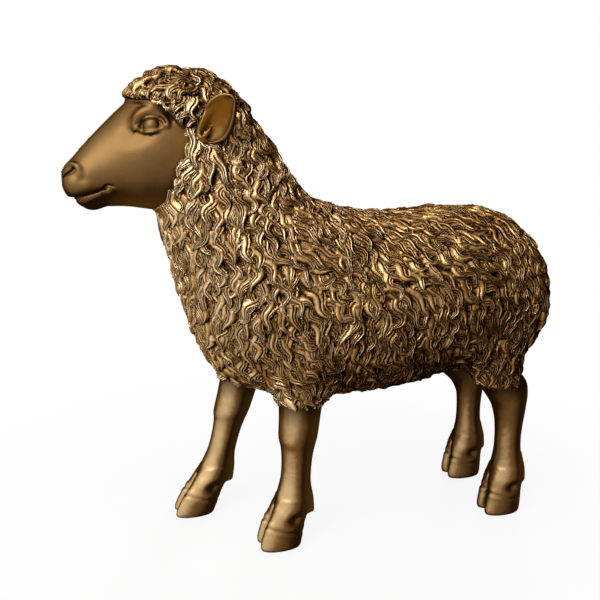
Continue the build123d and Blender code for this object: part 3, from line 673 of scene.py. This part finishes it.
# Out of the cup, from the root to the tip, and across the ear downwards.
ear_axes = np.array([(0.759, -0.651, 0.0), (0.516, 0.601, 0.610), (0.338, 0.510, -0.788)])
# Rings from the root to the tip: place, half width, shift across, and half thickness.
ear_rings = (
    (-6.0, 4.5, 0.4, 5.5), (-1.0, 6.0, 1.2, 6.2), (5.0, 9.8, 2.4, 6.8), (13.6, 14.9, 0.9, 7.2),
    (20.0, 16.5, -1.2, 7.2), (28.7, 14.9, -3.3, 6.6), (36.7, 10.4, -5.2, 5.4), (41.6, 5.6, -5.7, 4.0),
    (44.0, 1.6, -5.4, 1.8),
)
ear_grid = space((-10.0, -9.0, -22.0), (12.0, 48.0, 20.0), 0.75)


def ear_body(width, out):
    """The ear's leaf with its width scaled, and moved out of the cup."""
    return lofted(ear_grid, [
        (place, shift - width * half, place, shift + width * half, thick, 0.0)
        for place, half, shift, thick in ear_rings], out)


leaf, bowl = ear_body(1.0, 0.0), ear_body(0.82, 4.6)
ear_fold = (
    (2.5, -2.0, -3.0), (1.8, 5.0, -7.0), (0.4, 12.0, -10.0), (-1.5, 20.0, -11.5), (-3.0, 27.0, -11.0))
ear_rib = ((2.8, 0.0, 2.0), (1.6, 5.5, 0.8), (-1.0, 11.0, -1.6))
ear_slit = ((3.6, -1.0, -0.4), (2.4, 6.0, -2.6), (-0.6, 11.0, -4.2))
ear_field = carve(leaf, np.maximum(bowl, 1.5 - ear_grid[1]), 2.2)
ear_field = blend(ear_field, rope(ear_grid, ear_fold, (3.0, 3.0, 2.8, 2.0, 0.8)), 2.5)
ear_field = blend(ear_field, rope(ear_grid, ear_rib, (1.6, 1.7, 0.6)), 1.6)
ear_field = carve(ear_field, rope(ear_grid, ear_slit, (0.7, 1.0, 0.5)), 1.4)
ear_local, ear_faces = net(ear_field, ear_grid)
ring_place, ring_half, ring_shift = np.array(ear_rings).T[:3]
ear_half = np.maximum(np.interp(ear_local[:, 1], ring_place, ring_half), 1.0)
rim_share = np.abs(ear_local[:, 2] - np.interp(ear_local[:, 1], ring_place, ring_shift)) / ear_half
in_cup = ramp(rim_share, 0.86, 0.72) * ramp(ear_local[:, 1], 40.0, 36.0) * (ear_local[:, 0] > -4.5)
# Painted shade along the slit in the cup.
slit = crease_shade(ear_local, [(ear_slit, 2.2)])
for name, side in (("left_ear", 1), ("right_ear", -1)):
    points = (ear_root + ear_local @ ear_axes) * (side, 1, 1)
    faces = ear_faces[:, ::-1] if np.linalg.det(ear_axes) * side < 0 else ear_faces
    ear = make_piece(name + "_leaf", points, [faces], ear_paint, {"painted_shade": slit, "warm": 1.2 * in_cup})
    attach(ear, "root")
    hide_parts(name)


# Fleece: the coat is modelled as overlapping wavy locks of three or four strands each, cast in one
# with the trunk, neck, crown and tail below them. It is painted like the rest, with painted highlights
# on the strands and lit crests, and painted shade that leaves the grooves and far sides nearly black.
def fleece_gold(name):
    """Painted light and shade: gold on lit crests, brown on slopes, near-black patina and shade in grooves.
    """
    patina_and_shade, brown, gold, gleam = (
        (0.006, 0.002, 0.0005), (0.13, 0.056, 0.015), (0.58, 0.345, 0.135), (0.90, 0.74, 0.50))
    made, shade = new_material(name)
    place = shade.node("ShaderNodeTexCoord", output="Object")
    crest, tone, strand, reach, far = (
        stored(shade, key) for key in ("crest", "tone", "strand", "reach", "far"))
    cloud = noise(place, 70.0, 4.0, 0.6)
    hair = shade.node("ShaderNodeCombineXYZ", None, {"X": strand * 3.2, "Y": reach * 0.09, "Z": tone * 7.0})
    streak = noise(hair, 1.0, 3.0, 0.6)
    wave = shade.math("SINE", (strand + (cloud - 0.5) * 0.6) * math.pi)
    ridge = shade.math("POWER", shade.math("ABSOLUTE", wave), 0.9)
    bump = shade.node("ShaderNodeBump", None, {
        "Strength": 1.0, "Distance": 0.0016, "Height": ridge + (streak - 0.5) * 0.3})
    # Painted light: lit from one way on the near side and from its mirror image on the far side, lighter on
    # the strands' ridges and on the crests, and darker towards the back. The sum called height is how lit the
    # paint is: patina and painted shade at its lowest, a painted gleam at its highest.
    lit = facing(bump, (0.44, -0.79, 0.42)) * (1.0 - far) + facing(bump, (-0.44, 0.79, 0.42)) * far
    back = shade.node("ShaderNodeSeparateXYZ", None, {0: place}, output="Y")
    height = (lit * 1.15 + ridge * 0.2 + crest * 0.28 + (tone - 0.7) * 0.4 + (streak - 0.5) * 0.3
              - back * (1.0 - far) * 1.3 - 0.05)
    slope, top = eased(height, -0.08, 0.72), eased(height, 0.5, 1.35)
    paint = top.mix(slope.mix(patina_and_shade, brown), gold)
    coat_with(shade, {
        "Base Color": eased(height, 1.05, 1.7).mix(paint, gleam), "Metallic": slope * 0.65 + 0.2,
        "Roughness": (streak * 0.16 + (1.0 - top) * 0.14 + 0.24).clamped(), "Normal": bump,
        "Specular IOR Level": 0.0, "Specular Tint": (0.2, 0.12, 0.06, 1.0)})
    return made


fleece_paint = fleece_gold("fleece_gold")
chance = np.random.default_rng(11)
bung_y = head_y + 195.0
# Rings under the wool, from the back forwards, with places counted back from the head's joint. For
# trunk and crown: place, lowest and highest point, half width. The neck's lean: the place and height
# of the lower end, those of the upper end, and the half width.
trunk_rings = (
    (354.5, 210, 255, 17), (352, 194, 268, 37), (347.5, 180, 285, 53), (339, 171, 301, 66),
    (325, 162, 314, 75), (298, 156, 326, 82), (261, 157, 329.5, 86), (212, 146.5, 326.5, 88),
    (162.4, 143, 321, 88), (113, 144, 322, 86), (74, 148, 326.5, 80), (39.3, 157, 325, 69.5),
    (15, 175, 315.6, 53.7), (0, 200, 291, 33.4),
)
neck_rings = (
    (-3.1, 212, 182, 315, 69.8), (-15.6, 241, 144, 327, 72), (-26.6, 283.1, 101, 348.8, 64.1),
    (-35.7, 318, 65.1, 404.6, 54), (-41, 334.5, 31, 431, 46.1), (-45, 345, 12, 445, 43.5),
)
crown_rings = (
    (47, 366, 425, 37.8), (35, 367, 436.5, 42.2), (20, 367, 449, 44), (0, 372, 456, 44),
    (-18, 382, 457, 41.8), (-35, 396, 451.6, 35.2), (-46, 409, 445.5, 27.5), (-52, 418.5, 441.0, 18.0),
    (-55, 424.0, 435.5, 9.0),
)
# The tail's rings: height, half depth, half width and place. Those of the woolly cuffs above the
# legs: height, half depth and half width.
tail_rings = (
    (262, 6, 9.35, 342.5), (248.2, 9.6, 14.45, 346.5), (220.6, 11.5, 17, 348.5),
    (193, 10.8, 13.6, 347.5), (174, 6, 6.8, 344),
)
cuff_rings = ((214, 24.5, 20), (196, 29.5, 26.5), (172, 28, 26.2), (150, 24.8, 23.8), (140, 23, 22.2))
# Each cuff: its place to the left and behind the joint, its slope, and its depth as a share.
cuff_places = (
    (43.5, 88.5, 0.0647, 1.0), (-43.5, 46.0, 0.2792, 1.0),
    (43.5, 304.5, -0.3, 1.02), (-43.5, 307.5, -0.3, 1.02),
)

coat_step = 3.0
coat_depth = 4.3
wool_hem = 149.5
coat_grid = space((-96, head_y - 64, 132), (96, head_y + 374, 462), coat_step)
cx, cy, cz = coat_grid


def wool_body(sections):
    """A body under the coat, from the lower and upper end of each section and its half width."""
    return lofted(coat_grid, [
        (head_y + y0, z0, head_y + y1, z1, wide, 0.0) for y0, z0, y1, z1, wide in sections])


trunk_field = wool_body([(y, low, y, top, wide) for y, low, top, wide in trunk_rings])
neck_field = wool_body(neck_rings)
crown_field = wool_body([(y, low, y, top, wide) for y, low, top, wide in crown_rings])
tail_field = wool_body([(y - deep, z, y + deep, z, wide) for z, deep, wide, y in tail_rings])
cuff_field = np.full(trunk_field.shape, 1e3, np.float32)
for across, back, rake, size in cuff_places:
    cuff = lofted((cx - across, cy - (head_y + back), cz), [
        ((z - hem_z) * rake - deep * size, z, (z - hem_z) * rake + deep * size, z, wide, 0.0)
        for z, deep, wide in cuff_rings])
    cuff_field = np.minimum(cuff_field, cuff)
trunk_field = blend(trunk_field, cuff_field, 20.0)
coat_field = blend(blend(trunk_field, neck_field, 22.0), crown_field, 6.0)
coat_field = blend(coat_field, tail_field, 7.0)
bare_field = lofted(coat_grid, [(head_y - fwd, head_z + low, head_y - fwd, head_z + high, wide, egg)
                                for fwd, low, high, wide, egg in head_rings])


def smooth(values):
    """A field of distances with its small steps evened out."""
    for axis in range(3):
        values = (np.roll(values, 1, axis) + 2 * values + np.roll(values, -1, axis)) / 4
    return values


skin_field = smooth(blend(coat_field + coat_depth, bare_field + 0.4, 3.0))
skin_slopes = np.stack([skin_field, *np.gradient(skin_field, coat_step)], -1)


def on_skin(points):
    """The distance to the coat's ground, and the slope of that distance."""
    low = np.array([axis.ravel()[0] for axis in coat_grid])
    places = (points - low) / coat_step
    cell = np.clip(np.floor(places).astype(int), 0, np.array(skin_field.shape) - 2)
    share = np.clip(places - cell, 0, 1)
    total = 0
    for corner in np.ndindex(2, 2, 2):
        weight = np.prod(np.where(corner, share, 1 - share), axis=-1)
        total = total + weight[..., None] * skin_slopes[tuple(np.moveaxis(cell + corner, -1, 0))]
    return total[..., 0], total[..., 1:]


def settle(points, times=3):
    """The points moved onto the ground, and the directions straight out of it."""
    for _ in range(times):
        gap, slope = on_skin(points)
        points = points - (gap / (slope ** 2).sum(-1))[..., None] * slope
    slope = on_skin(points)[1]
    return points, slope / np.linalg.norm(slope, axis=-1, keepdims=True)


def waver(points, sizes, seed):
    """A slow, smooth wander between about -1 and 1, the same for points that are close together."""
    dice = np.random.default_rng(seed)
    total = 0
    for size in sizes:
        way = dice.normal(size=3)
        way *= 2 * math.pi / size / np.linalg.norm(way)
        total = total + np.sin(points @ way + dice.uniform(0, 7))
    return total / math.sqrt(len(sizes))


def along_ground(ways, normals):
    """Directions laid flat on the ground."""
    ways = ways - normals * (ways * normals).sum(1)[:, None]
    return ways / (np.linalg.norm(ways, axis=1, keepdims=True) + 1e-6)


def flow(points, normals, crown_share):
    """Which way the wool lies: down and a little backwards, and outwards from the top of the head."""
    side, back = points[:, 0], points[:, 1] - head_y
    lean = np.interp(back, (-60, 0, 60, 140, 250, 350), (-0.1, -0.15, 0.1, 0.32, 0.45, 0.1))
    way = np.stack([0.25 * np.clip(side / 30, -1, 1), lean, -np.ones(len(points))], 1)
    parting = np.stack([0.9 * np.clip(side / 12, -1, 1), 0.9 + 0 * back, 0 * back], 1)
    way = way + np.clip(normals[:, 2:], 0, 1) * parting
    outward = np.stack([side, back + 4.0, 0 * back], 1)
    outward /= np.linalg.norm(outward, axis=1, keepdims=True) + 1e-6
    outward[:, 2] = -0.5
    way = way * (1 - crown_share[:, None]) + outward * crown_share[:, None]
    return along_ground(way, normals)


def fleece_edge(points):
    """How far inside the coat each point is: its edges are the face and the hems above the legs."""
    fwd, high = head_y - points[..., 1], points[..., 2] - head_z
    border = np.where(high > 41.6, 58.0, wool_border(high, (38, 31)))
    return np.minimum(border - fwd, points[..., 2] - wool_hem)


# The roots of the locks: points of the ground in random order, each kept if no kept one is near it,
# with more room along the lie of the wool than across it, and none round the bung.
ground, ground_out = settle(net(skin_field, coat_grid)[0], 2)
ground_z, flat_under = ground[:, 2], np.abs(ground_out[:, 2])
crown_ground = ramp(ground_z, 418, 432) * ramp(ground[:, 1] - head_y, 52, 40)
order = chance.permutation(len(ground))
order = order[fleece_edge(ground[order]) > 0]
bung_room = 15
from_bung = np.hypot(ground[order, 0], ground[order, 1] - bung_y)
order = order[from_bung + np.clip(ground_z[order] - 160, 0, 99) > bung_room]
ground_way = flow(ground, ground_out, crown_ground)
fineness = 1 - 0.12 * crown_ground - 0.18 * ramp(ground_z, 168, 156) * (flat_under < 0.8)
room_along, room_across = 11.5, 21.0
kept, kept_ways, kept_sizes = np.zeros((0, 3)), np.zeros((0, 3)), np.zeros(0)
roots = []
for number in order:
    gap = kept - ground[number]
    along = (gap * kept_ways).sum(1)
    across = (gap ** 2).sum(1) - along ** 2
    room = (along / room_along) ** 2 + across / room_across
    if len(roots) == 0 or (room / kept_sizes ** 2).min() > 1:
        roots.append(number)
        kept, kept_ways, kept_sizes = ground[roots], ground_way[roots], fineness[roots]
roots = np.array(roots)
lock_rows = 12


def turned(ways, normals, angles):
    """Directions in the ground turned by some angles about the way out of it."""
    return ways * np.cos(angles)[:, None] + np.cross(normals, ways) * np.sin(angles)[:, None]


def trace(start, aim, length, sway, phase, bend, curl, crown):
    """The middle line of every lock, and the way across it at each row."""
    point, lines, acrosses = start, [], []
    aimed = (aim ** 2).sum(1)[:, None] > 0
    for share in np.linspace(0, 1, lock_rows):
        point, normal = settle(point, 2)
        way = np.where(aimed, along_ground(aim, normal), flow(point, normal, crown))
        angle = sway + bend * np.sin(2 * math.pi * share * length / 26.0 + phase) + curl * share ** 2.2
        way = turned(way, normal, angle)
        lines.append(point)
        acrosses.append(np.cross(normal, way))
        point = point + way * (length / (lock_rows - 1))[:, None]
    return np.stack(lines, 1), np.stack(acrosses, 1)


start = ground[roots]
crown = crown_ground[roots]
hem = ramp(start[:, 2], 166, 156) * (flat_under[roots] < 0.85)
many = len(start)
length = chance.uniform(31, 48, many) * (1 - 0.35 * crown) * (1 - 0.4 * hem)
width = chance.uniform(8.0, 13.5, many) * (1 - 0.12 * crown) * (1 - 0.15 * hem)
top = chance.uniform(3.0, 5.9, many) + 1.2 * crown
sway = 0.34 * waver(start, (65, 100, 150), 3) + chance.normal(0, 0.13, many)
phase = 2.2 * waver(start, (35, 60), 5) + chance.uniform(-1.3, 1.3, many)
bend = chance.uniform(0.4, 0.95, many) + 0.3 * crown
side = np.sign(chance.uniform(-1, 1, many))
curl = side * np.where(chance.uniform(0, 1, many) < 0.25, chance.uniform(0.5, 1.2, many), 0.15)
curl = curl + side * crown * 1.5
start = start - ground_way[roots] * (0.4 * length)[:, None]
coat_locks = (start, np.zeros((many, 3)), length, sway, phase, bend, curl, crown, width, top)

# Two rows of locks end on the edge of the face: short rolls round the forehead, which turn back at
# the ears, and the ruff down the cheeks and the throat.
rim_path = spread((
    (0, 55, 42.3), (10, 54.2, 42), (20, 48, 41.4), (30, 38, 40.2), (35, 28, 38.5), (38, 22, 31),
    (40, 14, 22), (42.5, 6, 10)), 12)
rim_steps = np.concatenate([[0], np.cumsum(np.linalg.norm(np.diff(rim_path, axis=0), axis=1))])
rim_spacing = 4.4
rim_ends, rim_reach = [], []
for reach in np.arange(0, rim_steps[-1] - 8, rim_spacing):
    across, fwd, high = (np.interp(reach, rim_steps, rim_path[:, n]) for n in range(3))
    for mirror in ((1, -1) if reach > 0 else (1,)):
        rim_ends.append((mirror * across, head_y - fwd, head_z + high))
        rim_reach.append(reach)
rim_ends = np.array(rim_ends)
beside = ramp(np.array(rim_reach), 52, 66)[:, None]
rim_aim = np.sign(rim_ends[:, :1]) * (0.12, 0, 0) + (0, -0.25, -1.0)
rim_aim = rim_aim * (1 - beside) + np.array([0, -0.9, -0.45]) * beside
ruff_heights = np.arange(6, -46, -6.0)
ruff_border = wool_border(ruff_heights, (42, 27.7))
ruff_ends = np.stack([38 + 0 * ruff_heights, head_y - ruff_border + 3.5, head_z + ruff_heights], 1)
ruff_ends = np.vstack([ruff_ends, ruff_ends * (-1, 1, 1)])
edge_length = np.append(chance.uniform(12.0, 16.0, len(rim_ends)), chance.uniform(20, 26, len(ruff_ends)))
edge_aim = np.vstack([rim_aim, np.tile((0, -0.32, -1.0), (len(ruff_ends), 1))])
edge_start = np.vstack([rim_ends, ruff_ends]) - edge_aim * edge_length[:, None]
extra = len(edge_start)
on_rim = np.arange(extra) < len(rim_ends)
edge_width = np.where(on_rim, chance.uniform(6.0, 7.4, extra), chance.uniform(9, 12, extra))
edge_top = np.where(on_rim, chance.uniform(6.0, 7.2, extra), chance.uniform(3.4, 5.0, extra))
edge_locks = (
    edge_start, edge_aim, edge_length, chance.normal(0, 0.12, extra), chance.uniform(0, 6.3, extra),
    np.where(on_rim, 0.25, 0.6), np.where(on_rim, 0.0, chance.normal(0, 0.8, extra)),
    np.where(on_rim, 1.0, 0.0), edge_width, edge_top)

# Locks that would grow past the coat's edge are cut there, and left out where little is left.
locks = [np.concatenate(both) for both in zip(coat_locks, edge_locks)]
inside = fleece_edge(trace(*locks[:8])[0]) > -1.0
on_edge = np.arange(many + extra) >= many
inside_share = np.where(inside.all(1) | on_edge, 1.0, np.argmin(inside, axis=1) / (lock_rows - 1))
locks[2] = locks[2] * inside_share
least_share = 0.42
locks = [values[inside_share > least_share] for values in locks]
start, _, length, _, phase, _, _, crown, width, top = locks
lines, acrosses = trace(*locks[:8])
tones = np.clip(
    chance.normal(0.8, 0.2, len(start)) + 0.15 * waver(start, (50, 90), 8) - 0.75 * crown, -0.2, 1.0)
strand_numbers = np.clip(np.round(width / 3.7 + chance.normal(0, 0.35, len(width))), 2, 6)
strand_lift = chance.normal(0, 0.55, (len(width), 7))


def lock_place(points, owners):
    """How far points lie across from the middle lines of their locks, and at what share along them."""
    rows = lock_rows - 1
    gaps = points[:, None] - lines[owners]
    near = (gaps ** 2).sum(2).argmin(1)
    way = lines[owners, np.minimum(near + 1, rows)] - lines[owners, np.maximum(near - 1, 0)]
    way /= np.linalg.norm(way, axis=1, keepdims=True)
    reach = near + (gaps[np.arange(len(points)), near] * way).sum(1) * rows / length[owners]
    held = np.clip(reach, 0, rows - 0.001)
    first = held.astype(int)
    part = (held - first)[:, None]
    middle = lines[owners, first] * (1 - part) + lines[owners, first + 1] * part
    across = acrosses[owners, first] * (1 - part) + acrosses[owners, first + 1] * part
    return ((points - middle) * across).sum(1), reach / rows


def lock_form(points, owners):
    """Height of each point on its lock above the ground, and its place on it: across, counted in
    strands, and along, in millimetres."""
    off, share = lock_place(points, owners)
    held = np.clip(share, 0, 1)
    leaf = np.maximum(np.sin(math.pi * (0.17 + 0.83 * held ** 0.85)) ** 0.85, 0.07)
    place = off / (width[owners] * leaf / 2)
    turn = (place + 1) * math.pi
    strand = strand_numbers[owners] * (turn + 0.7 * np.sin(turn + phase[owners])
                                       - 0.7 * np.sin(phase[owners])) / (2 * math.pi)
    rise = np.interp(held, (0, 0.2, 0.72, 0.92, 1), (0.05, 0.5, 1.0, 0.85, 0.3))
    lift = strand_lift[owners, np.clip(strand, 0, 6).astype(int)]
    height = rise * (top[owners] * (1 - 0.6 * place ** 2) + lift) + 0.3
    height = np.where((np.abs(place) < 1) & (share > 0) & (share < 1), height, -9.0)
    return height, strand, share * length[owners]


def finer(values):
    """The same field with one more point between each two neighbours."""
    for axis in range(3):
        values = np.moveaxis(values, axis, 0)
        made = np.zeros((2 * len(values) - 1,) + values.shape[1:], np.float32)
        made[::2] = values
        made[1::2] = (values[1:] + values[:-1]) / 2
        values = np.moveaxis(made, 0, axis)
    return values


fine_grid = np.ix_(*[
    axis.ravel()[0] + coat_step / 2 * np.arange(2 * axis.size - 1, dtype=np.float32) for axis in coat_grid])
coat, coat_quads = net(finer(skin_field), fine_grid)
coat, coat_out = settle(coat, 1)
edge_gap = fleece_edge(coat)
coat_quads = coat_quads[(edge_gap > -12)[coat_quads].all(1)]
# The points are sorted into cells, so that each lock is laid over those near it only. At each point
# the highest lock wins.
cell_size = 12.0
corner = coat.min(0)
cells = np.floor((coat - corner) / cell_size).astype(int)
spans = cells.max(0) + 1
keys = (cells[:, 0] * spans[1] + cells[:, 1]) * spans[2] + cells[:, 2]
by_key = np.argsort(keys, kind="stable")
firsts = np.searchsorted(keys[by_key], np.arange(spans.prod() + 1))
level = np.where(edge_gap > 0, 0.3, -2.0)
winner = np.full(len(coat), -1)
for number in range(len(start)):
    low, high = (
        np.clip(np.floor((place - corner) / cell_size).astype(int), 0, spans - 1)
        for place in (lines[number].min(0) - 7, lines[number].max(0) + 7))
    near = []
    for i, j in np.ndindex(*(high - low + 1)[:2]):
        base = ((i + low[0]) * spans[1] + j + low[1]) * spans[2]
        near.append(by_key[firsts[base + low[2]]:firsts[base + high[2] + 1]])
    near = np.concatenate(near)
    height = lock_form(coat[near], np.full(len(near), number))[0]
    higher = height > level[near]
    level[near[higher]] = height[higher]
    winner[near[higher]] = number

# The coat is thin round the ears' roots. Crests are what stands above the evened coat; the paint is lighter
# on them and darker in the dips, as painted light and shade.
ear_gap = np.linalg.norm(to_left(coat) - ear_root - 9.0 * ear_axes[1], axis=1)
level = np.minimum(level, np.interp(ear_gap, (11, 21), (0.4, 9.0)))
even = level.copy()
ends = np.concatenate([coat_quads, np.roll(coat_quads, 1, axis=1)]).ravel()
others = np.concatenate([np.roll(coat_quads, 1, axis=1), coat_quads]).ravel()
neighbours = np.maximum(np.bincount(ends, minlength=len(coat)), 1)
for _ in range(8):
    even = even / 2 + np.bincount(ends, even[others], len(coat)) / neighbours / 2
crest = level - even
carved = coat + coat_out * level[:, None]
# Far is 1 where the coat turns away from the camera; there the painted light comes from the mirrored way.
far = ramp(coat_out @ (0.94, -0.27, 0.20), 0.15, -0.25)
covered = ((winner >= 0) & (edge_gap > -4.5)) | (edge_gap > 0)
coat_quads = coat_quads[covered[coat_quads].any(1)]
corner_winners = winner[coat_quads]
highest = np.take_along_axis(corner_winners, level[coat_quads].argmax(1)[:, None], 1)[:, 0]
quad_lock = np.where(highest >= 0, highest, corner_winners.max(1))
corner_lock = np.repeat(quad_lock, 4)
corner_held = np.maximum(corner_lock, 0)
strand, reach = lock_form(coat[coat_quads.ravel()], corner_held)[1:]
strand = np.where(corner_lock >= 0, np.clip(strand, 0, strand_numbers[corner_held]), 0).reshape(-1, 4)
reach = (reach + 97.0 * (corner_held % 89)).reshape(-1, 4)
tone = np.where(winner >= 0, tones[np.maximum(winner, 0)], 0.5)


def past_joint(y, z):
    """How far a place lies on the neck's side of its joint with the trunk."""
    return (y - head_y + 3.1) * -0.495 + (z - 212) * 0.869 - 15


# Each face goes to the casting on which its lock grows: trunk 0, neck 1, crown 2, tail 3.
seat = lines[:, 4]
on_tail = (seat[:, 1] - head_y > 352) & (np.abs(seat[:, 0]) < 17) & (seat[:, 2] > 172) & (seat[:, 2] < 264)
owner = np.select([crown > 0.5, on_tail, past_joint(seat[:, 1], seat[:, 2]) > 0], [2, 3, 1], 0)
quad_middle = coat[coat_quads[:, 0]]
quad_part = np.where(past_joint(quad_middle[:, 1], quad_middle[:, 2]) > 0, 1, 0)
quad_part = np.where(quad_lock >= 0, owner[np.maximum(quad_lock, 0)], quad_part)
# Under the coat each casting has a plain closed body, which ends at the joint and behind the face.
tuck = 1.2
edge_field = 0.8 * (head_y - cy - wool_border(cz - head_z, (48, 31)) + 3.0) + 0 * cx
joint_field = past_joint(cy, cz)
under_field = smooth(coat_field + coat_depth + tuck)
crown_under = crown_field + coat_depth + tuck
castings = (
    ("trunk", "trunk_casting", np.maximum(np.maximum(under_field, joint_field), -crown_under)),
    ("neck", "neck_casting",
     np.maximum(np.maximum(under_field, -joint_field), np.maximum(-crown_under, edge_field))),
    ("crown", "crown_fleece_casting", np.maximum(crown_under, edge_field)),
    ("tail", "tail_casting", tail_field + 2.7),
)
for number, (part, casting, under) in enumerate(castings):
    points, quads = net(under, coat_grid)
    mine = quad_part == number
    used, sheet = np.unique(coat_quads[mine], return_inverse=True)
    values = {key: np.append(np.full(len(points), plain), numbers[used])
              for key, plain, numbers in (("crest", -1.0, crest), ("far", 0.0, far), ("tone", 0.5, tone))}
    piece = make_piece(
        part + "_fleece", np.vstack([points, carved[used]]),
        [quads, sheet.reshape(-1, 4) + len(points)], fleece_paint, values)
    for key, numbers in (("strand", strand), ("reach", reach)):
        piece.data.attributes.new(key, "FLOAT", "CORNER").data.foreach_set(
            "value", np.append(np.zeros(quads.size), numbers[mine].ravel()).astype(np.float32))
    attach(piece, "root")
    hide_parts(casting)


# Inside and underneath, never seen in use: four steel rods through the legs, felt under the feet and
# a rubber bung in the belly. The castings keep the sprayed gold of the skins that stand over them.
def fine_material(name, base, light_and_wear, metallic, rough, fine, grain_depth, stretch=(1.0, 1.0, 1.0)):
    """Two mixed colours with a grain, drawn out along an axis where the surface is turned or brushed."""
    made, shade = new_material(name)
    place = shade.node("ShaderNodeTexCoord", output="Object")
    drawn = shade.node("ShaderNodeVectorMath", {"operation": "MULTIPLY"}, {0: place, 1: stretch})
    grain, patch = noise(drawn, fine, 4.0, 0.65), noise(place, 60.0, 3.0, 0.5)
    bump = shade.node("ShaderNodeBump", None, {"Strength": 0.5, "Distance": grain_depth, "Height": grain})
    coat_with(shade, {
        "Base Color": (grain * 0.6 + patch * 0.4).mix(base, light_and_wear), "Metallic": metallic,
        "Roughness": (grain * 0.2 + patch * 0.1 + (rough - 0.15)).clamped(), "Normal": bump})
    return made


rod_steel = fine_material(
    "rod_steel", (0.42, 0.43, 0.44), (0.60, 0.60, 0.59), metallic=1.0, rough=0.34, fine=700.0,
    grain_depth=0.0002, stretch=(1.0, 1.0, 6.0))
pad_felt = fine_material(
    "pad_felt", (0.035, 0.026, 0.02), (0.075, 0.058, 0.045), metallic=0.0, rough=0.95, fine=1400.0,
    grain_depth=0.0006)
bung_rubber = fine_material(
    "bung_rubber", (0.018, 0.017, 0.016), (0.04, 0.038, 0.036), metallic=0.0, rough=0.68, fine=420.0,
    grain_depth=0.0002)
inner_finishes = (("rod", rod_steel), ("pad", pad_felt), ("bung", bung_rubber))
for name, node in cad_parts.items():
    node.data.materials.clear()
    inner = [made for word, made in inner_finishes if word in name]
    node.data.materials.append(inner[0] if inner else leg_paint)
